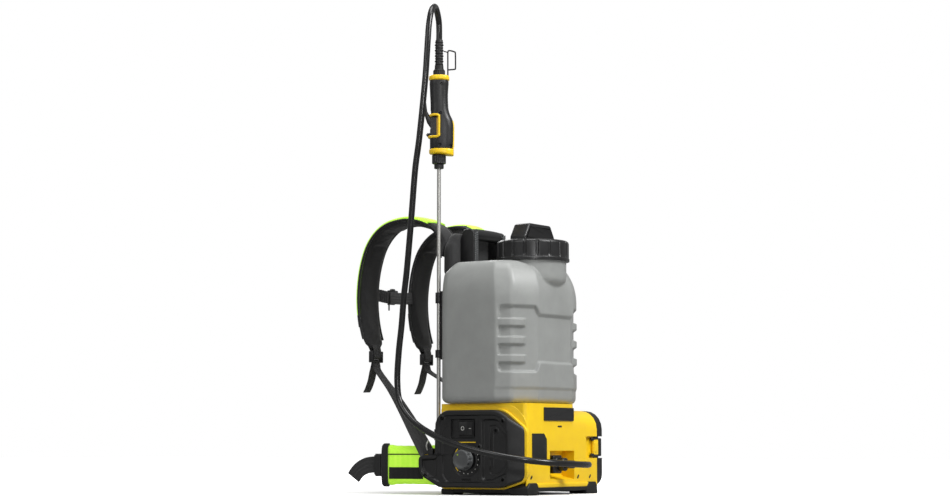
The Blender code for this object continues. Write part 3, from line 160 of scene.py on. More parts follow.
def brushedMetal(name, colour, roughness, stretch):
    # Drawn metal: fine scratches along the bar, so the highlight spreads across it.
    made, tree, shader, coords = newMaterial(name)
    turned = addNode(tree, "ShaderNodeMapping", inputs={"Scale": stretch},
                     links={"Vector": coords.outputs["Object"]})
    scratch = addNode(tree, "ShaderNodeTexNoise", inputs={"Scale": perMetre(1.2), "Detail": 3.0},
                      links={"Vector": turned.outputs["Vector"]})
    gloss = addNode(tree, "ShaderNodeMapRange",
                    inputs={"To Min": roughness - 0.08, "To Max": roughness + 0.12},
                    links={"Value": scratch.outputs["Fac"]})
    tree.links.new(gloss.outputs["Result"], shader.inputs["Roughness"])
    relief = addNode(tree, "ShaderNodeBump", inputs={"Strength": 0.12, "Distance": 0.0001},
                     links={"Height": scratch.outputs["Fac"]})
    tree.links.new(relief.outputs["Normal"], shader.inputs["Normal"])
    shader.inputs["Base Color"].default_value = linear(colour)
    shader.inputs["Metallic"].default_value = 1.0
    return made


def wovenFabric(name, colour, darker, threadMm, bump, sheen, roughness=0.85, paintedGlow=0.0):
    # Plain-weave polyester: two crossing sets of threads, drawn coarser than real so that they show. A
    # painted glow, an emission in the cloth's own colour, may be added.
    made, tree, shader, coords = newMaterial(name)
    waves = []
    for axis in ("X", "Z"):
        waves.append(addNode(tree, "ShaderNodeTexWave", {"wave_type": "BANDS", "bands_direction": axis},
                             {"Scale": perMetre(threadMm) / 6.28, "Distortion": 0.6, "Detail": 1.0,
                              "Detail Scale": 2.0}, {"Vector": coords.outputs["Object"]}))
    weave = addNode(tree, "ShaderNodeMath", {"operation": "MAXIMUM"},
                    links={0: waves[0].outputs["Fac"], 1: waves[1].outputs["Fac"]})
    cloud = addNode(tree, "ShaderNodeTexNoise", inputs={"Scale": perMetre(18), "Detail": 4.0},
                    links={"Vector": coords.outputs["Object"]})
    blendFac = addNode(tree, "ShaderNodeMath", {"operation": "MULTIPLY"},
                       links={0: weave.outputs["Value"], 1: cloud.outputs["Fac"]})
    tint = addNode(tree, "ShaderNodeValToRGB", links={"Fac": blendFac.outputs["Value"]})
    tint.color_ramp.elements[0].color = linear(darker)
    tint.color_ramp.elements[1].color = linear(colour)
    tint.color_ramp.elements[1].position = 0.55
    tree.links.new(tint.outputs["Color"], shader.inputs["Base Color"])
    relief = addNode(tree, "ShaderNodeBump", inputs={"Strength": bump, "Distance": 0.0006},
                     links={"Height": weave.outputs["Value"]})
    tree.links.new(relief.outputs["Normal"], shader.inputs["Normal"])
    shader.inputs["Roughness"].default_value = roughness
    shader.inputs["Sheen Weight"].default_value = sheen
    shader.inputs["Sheen Roughness"].default_value = 0.4
    if paintedGlow:  # painted glow: the cloth emits light in its own colour, brighter than the lamps light it, in place of the lime dye's fluorescence
        tree.links.new(tint.outputs["Color"], shader.inputs["Emission Color"])
        shader.inputs["Emission Strength"].default_value = paintedGlow
    return made


def spacerMesh(name, colour, darker, cellMm):
    # Knitted air mesh: rows of small round eyelets over a darker layer.
    made, tree, shader, coords = newMaterial(name)
    cells = addNode(tree, "ShaderNodeTexVoronoi", {"feature": "F1"},
                    {"Scale": perMetre(cellMm), "Randomness": 0.15},
                    {"Vector": coords.outputs["Object"]})
    tint = addNode(tree, "ShaderNodeValToRGB", links={"Fac": cells.outputs["Distance"]})
    tint.color_ramp.elements[0].position = 0.18
    tint.color_ramp.elements[1].position = 0.42
    tint.color_ramp.elements[0].color = linear(darker)
    tint.color_ramp.elements[1].color = linear(colour)
    tree.links.new(tint.outputs["Color"], shader.inputs["Base Color"])
    relief = addNode(tree, "ShaderNodeBump", inputs={"Strength": 0.55, "Distance": 0.0008},
                     links={"Height": cells.outputs["Distance"]})
    tree.links.new(relief.outputs["Normal"], shader.inputs["Normal"])
    shader.inputs["Roughness"].default_value = 0.9
    shader.inputs["Sheen Weight"].default_value = 0.25
    shader.inputs["Sheen Roughness"].default_value = 0.5
    return made


def ribbedWebbing(name, colour, darker):
    # Narrow woven strap: fine ribs along the strap, read from its own map so that they follow it.
    made, tree, shader, coords = newMaterial(name)
    ribs = addNode(tree, "ShaderNodeTexWave", {"wave_type": "BANDS", "bands_direction": "X"},
                   {"Scale": 9.0, "Distortion": 0.3}, {"Vector": coords.outputs["UV"]})
    picks = addNode(tree, "ShaderNodeTexWave", {"wave_type": "BANDS", "bands_direction": "Y"},
                    {"Scale": 110.0, "Distortion": 0.3}, {"Vector": coords.outputs["UV"]})
    weave = addNode(tree, "ShaderNodeMath", {"operation": "MULTIPLY"},
                    links={0: ribs.outputs["Fac"], 1: picks.outputs["Fac"]})
    tint = addNode(tree, "ShaderNodeValToRGB", links={"Fac": weave.outputs["Value"]})
    tint.color_ramp.elements[0].color = linear(darker)
    tint.color_ramp.elements[1].color = linear(colour)
    tree.links.new(tint.outputs["Color"], shader.inputs["Base Color"])
    relief = addNode(tree, "ShaderNodeBump", inputs={"Strength": 0.5, "Distance": 0.0004},
                     links={"Height": weave.outputs["Value"]})
    tree.links.new(relief.outputs["Normal"], shader.inputs["Normal"])
    shader.inputs["Roughness"].default_value = 0.62
    shader.inputs["Sheen Weight"].default_value = 0.2
    return made


paint = {
    "tank": mouldedPlastic("blowMouldedPolyethylene", "#9a9c9a", "#929492", 0.42, 1.6, 0.10, 1.51,
                           subsurface=0.08),
    "yellow": mouldedPlastic("yellowNylonMoulded", "#ffd612", "#facd0e", 0.38, 0.9, 0.10, 1.53, coat=0.08),
    "black": mouldedPlastic("blackNylonGrained", "#131314", "#0e0e0f", 0.40, 0.9, 0.28, 1.52),
    "satin": mouldedPlastic("blackNylonSatin", "#181819", "#121213", 0.34, 1.4, 0.10, 1.52),
    "knob": mouldedPlastic("greyNylonMoulded", "#5b5d5e", "#525455", 0.46, 0.9, 0.15),
    "rubber": mouldedPlastic("blackRubberMoulded", "#131313", "#0e0e0e", 0.55, 1.2, 0.25),
    "hose": mouldedPlastic("extrudedRubberHose", "#111112", "#0d0d0e", 0.24, 3.0, 0.05, 1.52),
    "steel": brushedMetal("drawnStainlessSteel", "#bdbcb8", 0.42, (1.0, 1.0, 0.03)),
    "brass": brushedMetal("turnedBrass", "#b08d4a", 0.32, (1.0, 1.0, 1.0)),
    "wire": brushedMetal("blackenedSpringSteel", "#2c2c2e", 0.38, (1.0, 1.0, 0.1)),
    # the lime cloth carries a painted glow: it emits light in its own colour, though it is no lamp
    "lime": wovenFabric("limePolyesterWovenPaintedGlow", "#c6ff4e", "#b2f03c", 1.4, 0.30, 0.35, paintedGlow=0.38),
    "green": wovenFabric("greenPolyesterWoven", "#3f9a28", "#2f7f1e", 1.4, 0.35, 0.3),
    "blackCloth": wovenFabric("blackPolyesterWoven", "#1c1c1d", "#111112", 1.4, 0.40, 0.25),
    "mesh": spacerMesh("blackAirMeshKnitted", "#1a1a1b", "#0b0b0c", 2.6),
    "webbing": ribbedWebbing("polyesterWebbingWoven", "#232324", "#121213"),
    "board": mouldedPlastic("lacqueredCircuitBoard", "#1d5a34", "#184e2c", 0.4, 2.0, 0.1),
    "mark": mouldedPlastic("printedPaleMarks", "#e8e8e2", "#dededa", 0.55, 1.0, 0.02),
    "markLime": mouldedPlastic("printedLimeMarks", "#b8e020", "#b0d81c", 0.5, 1.0, 0.02),
    "lens": mouldedPlastic("smokedAcrylicLens", "#2e2a26", "#2a2622", 0.12, 3.0, 0.0),
}
print("materials made")


# mesh helpers: a piece is one or more grids of points, each a function of two parameters
def meshFrom(name, grids, material, body, replaces=(), sharp=38.0, uvScale=None):
    # Joins closed grids into one piece. A grid is (points[rows, columns, 3], capped ends).
    points, faces, start = [], [], 0
    mapped = []
    for grid, capped in grids:
        rows, columns = grid.shape[:2]
        index = start + np.arange(rows * columns).reshape(rows, columns)
        right = np.roll(index, -1, axis=1)
        quads = np.stack([index[:-1], right[:-1], right[1:], index[1:]], axis=-1).reshape(-1, 4)
        faces += quads.tolist()
        if capped:
            faces.append(index[0][::-1].tolist())
            faces.append(index[-1].tolist())
        else:  # the last row joins the first, as on a ring
            quads = np.stack([index[-1], right[-1], right[0], index[0]], axis=-1)
            faces += quads.tolist()
        points.append(place(grid.reshape(-1, 3)))
        if uvScale is not None:
            u, v = np.meshgrid(np.linspace(0, 1, columns), np.linspace(0, 1, rows) * uvScale)
            mapped.append(np.stack([u, v], -1).reshape(-1, 2))
        start += rows * columns
    mesh = bpy.data.meshes.new(name)
    mesh.from_pydata(np.concatenate(points).tolist(), [], faces)
    if uvScale is not None:
        layer = mesh.uv_layers.new(name="along")
        corners = np.zeros(len(mesh.loops), dtype=np.int64)
        mesh.loops.foreach_get("vertex_index", corners)
        layer.data.foreach_set("uv", np.concatenate(mapped)[corners].astype(np.float32).reshape(-1))
    return finishMesh(name, mesh, material, body, replaces, sharp)


def finishMesh(name, mesh, material, body, replaces=(), sharp=38.0, outwards=True):
    if outwards:
        built = bmesh.new()
        built.from_mesh(mesh)
        bmesh.ops.recalc_face_normals(built, faces=built.faces)
        built.to_mesh(mesh)
        built.free()
    mesh.materials.append(material)
    mesh.shade_smooth()
    mesh.set_sharp_from_angle(angle=math.radians(sharp))
    made = bpy.data.objects.new(name, mesh)
    bpy.context.scene.collection.objects.link(made)
    if body is not None:
        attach(made, body)
    if replaces:
        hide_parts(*replaces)
    return made


def smoothStep(value, low, high):
    t = np.clip((value - low) / (high - low), 0.0, 1.0)
    return t * t * (3 - 2 * t)


def outlineOf(corners, steps=6):
    # A closed outline from (a, b, radius) corners, each rounded by an arc.
    points = []
    count = len(corners)
    for i, (a, b, radius) in enumerate(corners):
        here = np.array([a, b], float)
        back = np.array(corners[i - 1][:2], float) - here
        ahead = np.array(corners[(i + 1) % count][:2], float) - here
        lengths = np.linalg.norm(back), np.linalg.norm(ahead)
        back, ahead = back / lengths[0], ahead / lengths[1]
        half = math.acos(np.clip(back @ ahead, -1, 1)) / 2
        reach = min(radius / math.tan(half), 0.49 * lengths[0], 0.49 * lengths[1])
        radius = reach * math.tan(half)
        if radius < 1e-3:
            points.append(here[None])
            continue
        middle = here + (back + ahead) / np.linalg.norm(back + ahead) * radius / math.sin(half)
        first = here + back * reach - middle
        last = here + ahead * reach - middle
        angle = math.atan2(first[1], first[0])
        sweep = (math.atan2(last[1], last[0]) - angle + math.pi) % (2 * math.pi) - math.pi
        angles = angle + sweep * np.linspace(0, 1, steps + 1)
        points.append(middle + radius * np.stack([np.cos(angles), np.sin(angles)], -1))
    return np.concatenate(points)


def evenOutline(outline, count):
    # The same closed outline with evenly spaced points.
    closed = np.vstack([outline, outline[:1]])
    reach = np.concatenate([[0], np.cumsum(np.linalg.norm(np.diff(closed, axis=0), axis=1))])
    places = np.linspace(0, reach[-1], count, endpoint=False)
    return np.stack([np.interp(places, reach, closed[:, 0]), np.interp(places, reach, closed[:, 1])], -1)


def insetOutline(outline, distance):
    # An outline moved inwards along its corner normals.
    back = outline - np.roll(outline, 1, axis=0)
    ahead = np.roll(outline, -1, axis=0) - outline
    back /= np.linalg.norm(back, axis=1, keepdims=True) + 1e-12
    ahead /= np.linalg.norm(ahead, axis=1, keepdims=True) + 1e-12
    along = back + ahead
    along /= np.linalg.norm(along, axis=1, keepdims=True) + 1e-12
    normal = np.stack([along[:, 1], -along[:, 0]], -1)
    area = 0.5 * np.sum(outline[:, 0] * np.roll(outline[:, 1], -1) - np.roll(outline[:, 0], -1)
                        * outline[:, 1])
    stretch = 1 / np.clip(np.sum(back * along, axis=1), 0.6, 1)
    return outline - normal * (math.copysign(1, area) * distance * stretch)[:, None]


def onAxis(axis, flat, along):
    # Points from an outline in two axes and a place along the third, in X, Y, Z order.
    along = np.full(len(flat), along) if np.isscalar(along) else along
    parts = {"X": (along, flat[:, 0], flat[:, 1]), "Y": (flat[:, 0], along, flat[:, 1]),
             "Z": (flat[:, 0], flat[:, 1], along)}[axis]
    return np.stack(parts, -1)


def plateGrid(outline, low, high, axis, rim=1.0, steps=3):
    # A plate: the outline carried along an axis, with both rims rounded to a quarter circle.
    turn = np.linspace(0, math.pi / 2, steps + 1)
    rows = []
    for t in turn:
        rows.append(onAxis(axis, insetOutline(outline, rim * (1 - math.sin(t))),
                           low + rim * (1 - math.cos(t))))
    for t in turn[::-1]:
        rows.append(onAxis(axis, insetOutline(outline, rim * (1 - math.sin(t))),
                           high - rim * (1 - math.cos(t))))
    return np.array(rows), True


def blockGrid(low, high, rim=1.0, corner=1.5, axis="Z"):
    order = {"X": (1, 2, 0), "Y": (0, 2, 1), "Z": (0, 1, 2)}[axis]
    a, b, c = order
    outline = outlineOf([(low[a], low[b], corner), (high[a], low[b], corner), (high[a], high[b], corner),
                         (low[a], high[b], corner)], 4)
    return plateGrid(outline, low[c], high[c], axis, rim)


def turnedGrid(profile, sides, middle=(0.0, 0.0), capped=True, ripple=None):
    # (radius, height) points turned about an upright axis; ripple(angle, radius, height) changes the
    # radius.
    profile = np.asarray(profile, float)
    angles = np.linspace(0, 2 * math.pi, sides, endpoint=False)
    angle, radius = np.meshgrid(angles, profile[:, 0])
    height = np.repeat(profile[:, 1:2], sides, axis=1)
    if ripple is not None:
        radius = ripple(angle, radius, height)
    return np.stack([middle[0] + radius * np.cos(angle), middle[1] + radius * np.sin(angle), height],
                    -1), capped


def smoothLine(points, count):
    # Evenly spaced points on the Catmull-Rom curve through the given points.
    p = np.asarray(points, float)
    p = np.vstack([2 * p[0] - p[1], p, 2 * p[-1] - p[-2]])
    t = np.linspace(0, 1, 24, endpoint=False)[:, None]
    fine = [0.5 * (2 * p[i + 1] + (p[i + 2] - p[i]) * t
                   + (2 * p[i] - 5 * p[i + 1] + 4 * p[i + 2] - p[i + 3]) * t ** 2
                   + (3 * p[i + 1] - p[i] - 3 * p[i + 2] + p[i + 3]) * t ** 3) for i in range(len(p) - 3)]
    fine = np.vstack(fine + [p[-2:-1]])
    reach = np.concatenate([[0], np.cumsum(np.linalg.norm(np.diff(fine, axis=0), axis=1))])
    places = np.linspace(0, reach[-1], count)
    return np.stack([np.interp(places, reach, fine[:, k]) for k in range(p.shape[1])], -1)


def carriedFrames(path, hint=(1.0, 0.0, 0.0)):
    # A frame at each point of a path, carried along it without twisting.
    along = np.gradient(path, axis=0)
    along /= np.linalg.norm(along, axis=1, keepdims=True)
    side = np.zeros_like(along)
    side[0] = np.array(hint) - along[0] * (along[0] @ np.array(hint))
    side[0] /= np.linalg.norm(side[0])
    for i in range(1, len(path)):
        side[i] = side[i - 1] - along[i] * (along[i] @ side[i - 1])
        side[i] /= np.linalg.norm(side[i])
    return along, side, np.cross(along, side)


def tubeGrid(path, radius, sides=16, hint=(1.0, 0.0, 0.0)):
    # A round section carried along a path; the radius may change along it.
    path = np.asarray(path, float)
    along, side, up = carriedFrames(path, hint)
    radius = np.broadcast_to(np.asarray(radius, float), (len(path),))
    angle = np.linspace(0, 2 * math.pi, sides, endpoint=False)
    ring = np.cos(angle)[None, :, None] * side[:, None] + np.sin(angle)[None, :, None] * up[:, None]
    return path[:, None] + ring * radius[:, None, None], True


def bandGrid(path, across, width, thickness, crown=0.0, sides=16, edge=0.5):
    # A flat strap: a rounded flat section carried along a path, with its width along 'across'.
    path = np.asarray(path, float)
    along = np.gradient(path, axis=0)
    along /= np.linalg.norm(along, axis=1, keepdims=True)
    across = np.broadcast_to(np.asarray(across, float), path.shape)
    across = across - along * np.sum(across * along, axis=1, keepdims=True)
    across = across / np.linalg.norm(across, axis=1, keepdims=True)
    out = np.cross(along, across)
    width = np.broadcast_to(np.asarray(width, float), (len(path),))
    thickness = np.broadcast_to(np.asarray(thickness, float), (len(path),))
    angle = np.linspace(0, 2 * math.pi, sides, endpoint=False)
    flatA = np.sign(np.cos(angle)) * np.abs(np.cos(angle)) ** edge
    flatB = np.sign(np.sin(angle)) * np.abs(np.sin(angle)) ** edge
    lift = flatB * (1 + crown * (1 - flatA ** 2))
    return (path[:, None] + across[:, None] * (flatA[None, :, None] * width[:, None, None] / 2)
            + out[:, None] * (lift[None, :, None] * thickness[:, None, None] / 2)), True


def softened(node, material, width, name=None, segments=3, angle=32.0):
    # A moulded piece: the CAD solid, merged, with its edges rounded to the mould's radius.
    source = frame["nodes"][node]
    body = body_of(source)[0]
    mesh = source.data.copy()
    mesh.materials.clear()
    built = bmesh.new()
    built.from_mesh(mesh)
    bmesh.ops.remove_doubles(built, verts=built.verts, dist=0.00002)
    bmesh.ops.dissolve_limit(built, angle_limit=math.radians(1.0), verts=built.verts, edges=built.edges)
    built.to_mesh(mesh)
    built.free()
    made = finishMesh(name or node + "Moulded", mesh, material, body, [node], angle, False)
    change = made.modifiers.new("mouldedEdges", "BEVEL")
    change.width = width / 1000
    change.segments = segments
    change.limit_method = "ANGLE"
    change.angle_limit = math.radians(angle)
    change.harden_normals = True
    return made


def keepNode(node, material):
    source = frame["nodes"][node]
    source.data.materials.clear()
    source.data.materials.append(material)


# the view, the light and the floor
view = {"heading": 33.097, "away": 4236.4, "height": 98.5, "yaw": 1.115, "pitch": 5.357, "lens": 78.98}
heading = math.radians(view["heading"])
cameraData = bpy.data.cameras.new("studioCamera")
cameraData.lens = view["lens"]
cameraData.clip_end = 50
camera = bpy.data.objects.new("studioCamera", cameraData)
camera.location = place([-view["away"] * math.cos(heading), -view["away"] * math.sin(heading),
                         view["height"]])
camera.rotation_euler = (math.radians(90 + view["pitch"]), 0,
                         heading + math.radians(view["yaw"]) - math.pi / 2)
bpy.context.scene.collection.objects.link(camera)
bpy.context.scene.camera = camera


# a square panel aimed at the object
def softLight(name, towards, away, height, size, power, colour="#ffffff"):
    lamp = bpy.data.lights.new(name, "AREA")
    lamp.shape = "SQUARE"
    lamp.size = size
    lamp.energy = power
    lamp.color = linear(colour)[:3]
    made = bpy.data.objects.new(name, lamp)
    angle = heading + math.radians(towards)
    made.location = (away * math.cos(angle), away * math.sin(angle), height)
    made.rotation_euler = (Vector((0, 0, 0.35)) - made.location).to_track_quat("-Z", "Y").to_euler()
    bpy.context.scene.collection.objects.link(made)


softLight("keyPanel", 236, 2.5, 2.5, 1.2, 86)
softLight("fillPanel", 140, 2.8, 2.0, 1.6, 18)
softLight("stripPanel", 188, 3.2, 1.1, 0.30, 15)
softLight("rimPanel", 20, 2.6, 2.2, 1.4, 30)
softLight("topPanel", 200, 0.5, 3.0, 1.4, 34)
world = bpy.data.worlds.new("paleStudio")
world.use_nodes = True
sky = world.node_tree
skyLight = sky.nodes["Background"]
skyLight.inputs["Color"].default_value = linear("#fafafa")
skyLight.inputs["Strength"].default_value = 0.24
backdrop = addNode(sky, "ShaderNodeBackground", inputs={"Color": linear("#ffffff"), "Strength": 1.0})
seen = addNode(sky, "ShaderNodeLightPath")
mirrored = addNode(sky, "ShaderNodeMath", {"operation": "MULTIPLY_ADD"}, {1: 0.16},
                   {0: seen.outputs["Is Glossy Ray"], 2: seen.outputs["Is Camera Ray"]})
mixed = addNode(sky, "ShaderNodeMixShader",
                links={0: mirrored.outputs["Value"], 1: skyLight.outputs["Background"],
                                                   2: backdrop.outputs["Background"]})
sky.links.new(mixed.outputs["Shader"], sky.nodes["World Output"].inputs["Surface"])
bpy.context.scene.world = world
bpy.context.scene.view_settings.view_transform = "Standard"
floorMaterial, floorTree, floorShader, floorPlace = newMaterial("palePaintedFloor")
floorShader.inputs["Roughness"].default_value = 0.75
# the floor glows a little away from the object, so that no horizon shows
reach = addNode(floorTree, "ShaderNodeVectorMath", {"operation": "LENGTH"},
                links={0: floorPlace.outputs["Object"]})
paintedGlow = addNode(floorTree, "ShaderNodeMapRange", inputs={"From Min": 0.14, "From Max": 0.6, "To Max": 1.0},
               links={"Value": reach.outputs["Value"]})
looked = addNode(floorTree, "ShaderNodeLightPath")
shown = addNode(floorTree, "ShaderNodeMath", {"operation": "MULTIPLY"},
                links={0: paintedGlow.outputs["Result"], 1: looked.outputs["Is Camera Ray"]})
floorTree.links.new(shown.outputs["Value"], floorShader.inputs["Emission Strength"])
pale = addNode(floorTree, "ShaderNodeMixRGB", None,
               {"Color1": linear("#9a9a99"), "Color2": linear("#f6f6f5")},
               {"Fac": looked.outputs["Is Camera Ray"]})
floorTree.links.new(pale.outputs["Color"], floorShader.inputs["Base Color"])
floorShader.inputs["Emission Color"].default_value = linear("#ffffff")
floorMesh = bpy.data.meshes.new("floor")
floorMesh.from_pydata([(-9, -9, 0), (9, -9, 0), (9, 9, 0), (-9, 9, 0)], [], [(0, 1, 2, 3)])
floorMesh.materials.append(floorMaterial)
floor = bpy.data.objects.new("floor", floorMesh)
bpy.context.scene.collection.objects.link(floor)
print("studio ready")

# the hose, in metres about the tank's axis
hoseRoute = [
    (-0.108, 0.115, 0.9245), (-0.108, 0.115, 0.945), (-0.110, 0.1145, 0.962), (-0.120, 0.111, 0.977),
    (-0.137, 0.104, 0.986), (-0.155, 0.098, 0.982), (-0.169, 0.0935, 0.966), (-0.178, 0.0915, 0.938),
    (-0.184, 0.091, 0.887), (-0.187, 0.094, 0.824), (-0.189, 0.106, 0.713), (-0.190, 0.1155, 0.648),
    (-0.190, 0.125, 0.547), (-0.190, 0.135, 0.450), (-0.190, 0.1425, 0.394), (-0.191, 0.147, 0.338),
    (-0.192, 0.1535, 0.280), (-0.194, 0.155, 0.222), (-0.196, 0.145, 0.180), (-0.203, 0.105, 0.142),
    (-0.211, 0.040, 0.112), (-0.213, -0.030, 0.092), (-0.205, -0.090, 0.079), (-0.183, -0.138, 0.070),
    (-0.148, -0.171, 0.065), (-0.098, -0.187, 0.062), (-0.040, -0.188, 0.060), (-0.004, -0.173, 0.060),
    (0.010, -0.141, 0.060), (0.003, -0.117, 0.060),
]
hoseFacts = {"radius": 6.25, "stations": 420, "sides": 28}
hosePath = smoothLine(np.array(hoseRoute) * 1000, hoseFacts["stations"])
hose = meshFrom("sprayHose", [tubeGrid(hosePath, hoseFacts["radius"], hoseFacts["sides"])], paint["hose"],
                None,
                ["hose"])
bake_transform(hose, "root", "wand", place([-190, 140, 250]), place([-190, 140, 920]))

# tank: plan outline by height, drawn in at the shoulders, with the neck rising from it
tankFacts = {"low": 180.6, "top": 465.6, "halfX": 136.0, "frontY": -99.0, "backY": 99.0, "shoulder": 78.0,
             "neckY": -42.0, "neckRadius": 68.0, "neckTop": 499.6, "recess": 6.2,
             "ledges": (268.0, 304.0, 340.0)}


def tankSurface(columns=420):
    # level by level: the plan drawn in by three quarter ellipses, less the recess, plus the ledges
    f = tankFacts
    half, front, back = f["halfX"], f["frontY"], f["backY"]
    plan = outlineOf([(-half, back, 26), (-half, front + 59, 13), (-half + 15, front + 27, 20),
                      (-64, front, 14),
                      (64, front, 14), (half - 15, front + 27, 20), (half, front + 59, 13),
                      (half, back, 26)], 10)
    plan = evenOutline(plan, columns)
    middle = plan[:, 0].copy()
    reach = np.concatenate([[0], np.cumsum(np.linalg.norm(np.diff(plan, axis=0), axis=1))])
    centre = np.interp(0, middle[(plan[:, 1] < front + 1)], reach[(plan[:, 1] < front + 1)])
    along = np.abs(reach - centre)  # distance along the plan from the middle of the outer face
    low, top = f["low"], f["top"]
    heights = np.concatenate([low + np.array([0, 0.4, 1.6, 3.6, 6.2, 9.4, 13.0]),
                              np.linspace(196, 386, 150),
                              top - f["shoulder"] * (1 - np.sin(np.linspace(0.02, math.pi / 2, 44)))])
    z = heights[:, None]
    a = along[None, :]
    rise = np.clip((z - (top - f["shoulder"])) / f["shoulder"], 0, 1)
    arc = 1 - np.sqrt(np.clip(1 - rise ** 2, 0, 1))
    foot = np.clip(1 - (z - low) / 13.0, 0, 1)
    footArc = 12 * (1 - np.sqrt(np.clip(1 - foot ** 2, 0, 1)))
    chamfer = np.clip(z - (top - 24), 0, 24) * 0.86
    side = 34 * arc + footArc
    outer = 44 * arc + footArc + 3.0 * smoothStep(-z, -214, -206)
    rear = np.minimum(chamfer, 20) + footArc
    # the recess: wider on the corners than on the flat outer face, with sloping steps all round
    wide = smoothStep(a, 60, 74)
    upper, lower = 360 + 16 * wide, 259 - 19 * wide
    gaps = np.stack([np.broadcast_to(157 - a, (len(heights), columns)), (upper - z) * 0.62, z - lower])
    soft = 9.0
    short = np.clip(soft - gaps, 0, None)
    inside = soft - np.sqrt(short[0] ** 2 + np.maximum(short[1], short[2]) ** 2)
    recess = f["recess"] * smoothStep(inside, 0, 6)
    ledges = np.zeros_like(recess)
    for level in f["ledges"]:
        tall = smoothStep(z, level - 12.0, level - 5.5) * (1 - smoothStep(z, level + 6.0, level + 8.5))
        reachOut = smoothStep(a, 90, 102) * (1 - smoothStep(a, 155, 157))
        ledges = np.maximum(ledges, tall * reachOut)
    recess = recess - ledges * (recess + 0.4 * smoothStep(inside, 0, 8))
    share = (plan[None, :, 1] - front) / (back - front)
    pulledY = front + outer + share * (back - front - outer - rear)
    squeeze = 1 - side / half
    x = plan[None, :, 0] * squeeze
    normal = np.stack([np.roll(plan[:, 1], -1) - np.roll(plan[:, 1], 1),
                       np.roll(plan[:, 0], 1) - np.roll(plan[:, 0], -1)], -1)
    normal /= np.linalg.norm(normal, axis=1, keepdims=True)
    if np.mean(np.sum(normal * plan, axis=1)) < 0:
        normal = -normal
    x = x - normal[None, :, 0] * recess
    y = pulledY - normal[None, :, 1] * recess
    # the neck: a round column that the shoulders run into
    angle = np.arctan2(y - f["neckY"], x)
    away = np.hypot(x, y - f["neckY"])
    column = f["neckRadius"] - 26 * (1 - smoothStep(z, 398, 432)) - 60 * (1 - smoothStep(z, 380, 400))
    column = column - 1.2 * smoothStep(-z, -440, -426)
    blendOver = 3.0
    gap = np.clip(0.5 + 0.5 * (column - away) / blendOver, 0, 1)
    joined = away * (1 - gap) + column * gap + blendOver * gap * (1 - gap)
    x = joined * np.cos(angle)
    y = f["neckY"] + joined * np.sin(angle)
    rows = np.stack([x, y, np.broadcast_to(z, x.shape)], -1)
    # across the flat top and up the neck
    last = rows[-1]
    angle, away = angle[-1], joined[-1]
    extra = []
    for t in np.linspace(0.08, 1, 16):
        flare = (1 - math.cos(t * math.pi / 2)) ** 2 * 3.0
        level = away * (1 - t) + (f["neckRadius"] - 0.2) * t
        level = np.where(away < f["neckRadius"] + 0.5, f["neckRadius"], level)
        extra.append(np.stack([level * np.cos(angle), f["neckY"] + level * np.sin(angle),
                               np.full(columns, last[0, 2] + 0.6 * t + flare)], -1))
    for height, radius in ((472, 67.6), (480, 67.6), (f["neckTop"] - 1, 67.6), (f["neckTop"], 66.8),
                           (f["neckTop"], 62.0), (470, 62.0), (436, 60.0), (424, 40)):
        extra.append(np.stack([radius * np.cos(angle), f["neckY"] + radius * np.sin(angle),
                               np.full(columns, float(height))], -1))
    return np.concatenate([rows, np.array(extra)])


meshFrom("tankShell", [(tankSurface(), True)], paint["tank"], "root", ["tank"], sharp=70)
print("tank moulded")

# cap: a turned skirt with broad pads between narrow grooves, and a grip bar on top
capFacts = {"radius": 73.5, "low": 467.5, "top": 509.5, "pads": 18, "groove": 2.2, "lip": 6.0,
            "lipOut": 1.0,
            "barLong": 113.0, "barWide": 37.0, "barTall": 34.0}


def capRipple(angle, radius, height):
    # grooves: a narrow smooth dip repeated round the skirt, fading out at the lip and over the top edge
    turn = (angle * capFacts["pads"] / (2 * math.pi)) % 1
    dip = smoothStep(np.abs(turn - 0.5), 0.36, 0.43)
    fade = smoothStep(height, 474.0, 476.0) * (1 - smoothStep(height, 506.0, 509.0)) * smoothStep(radius,
            58, 66)
    return radius - capFacts["groove"] * dip * fade


f = capFacts
edge = [(f["radius"] - 7 + 7 * math.cos(t), f["top"] - 7 + 7 * math.sin(t))
        for t in np.linspace(0, math.pi / 2, 9)]
capProfile = [(70.0, f["low"]), (f["radius"] + f["lipOut"] - 0.6, f["low"]),
              (f["radius"] + f["lipOut"], f["low"] + 0.6),
              (f["radius"] + f["lipOut"], f["low"] + f["lip"] - 0.8),
              (f["radius"] + 0.2, f["low"] + f["lip"])]
capProfile += [(f["radius"], height) for height in np.linspace(474.2, 501.5, 10)] + edge
capProfile += [(64.0, f["top"]), (63.2, f["top"] - 1.0), (50.0, f["top"] - 1.0), (0.05, f["top"] - 1.0)]
barHalf, crest = f["barLong"] / 2, f["top"] + f["barTall"]
barOutline = outlineOf([(-barHalf, f["top"] - 3, 0), (barHalf, f["top"] - 3, 0), (barHalf, f["top"] + 7, 3),
                        (barHalf - 16, crest - 2, 5), (barHalf - 20, crest, 4), (-barHalf + 20, crest, 4),
                        (-barHalf + 16, crest - 2, 5), (-barHalf, f["top"] + 7, 3)], 5)
barGrid = plateGrid(barOutline, -42 - f["barWide"] / 2, -42 + f["barWide"] / 2, "Y", 3.0, 4)
inside = insetOutline(barOutline, 7.0)
cheekGrids = [plateGrid(inside, -42 + side * (f["barWide"] / 2) - 0.7,
                        -42 + side * (f["barWide"] / 2) + 0.7, "Y", 0.6, 2)
              for side in (-1, 1)]
meshFrom("capSkirt", [(turnedGrid(capProfile, 540, (0.0, -42.0), False, capRipple)[0], True)],
         paint["satin"],
         "cap", ["cap"], sharp=42)
meshFrom("capGripBar", [barGrid] + cheekGrids, paint["satin"], "cap", sharp=42)
print("cap turned")

# wand: everything here is drawn about the lance, with x towards the trigger
wandFacts = {"x": -108.0, "y": 115.0, "turn": 123.0, "grip": 698.8}
wandTurn = math.radians(wandFacts["turn"])
g = wandFacts["grip"]


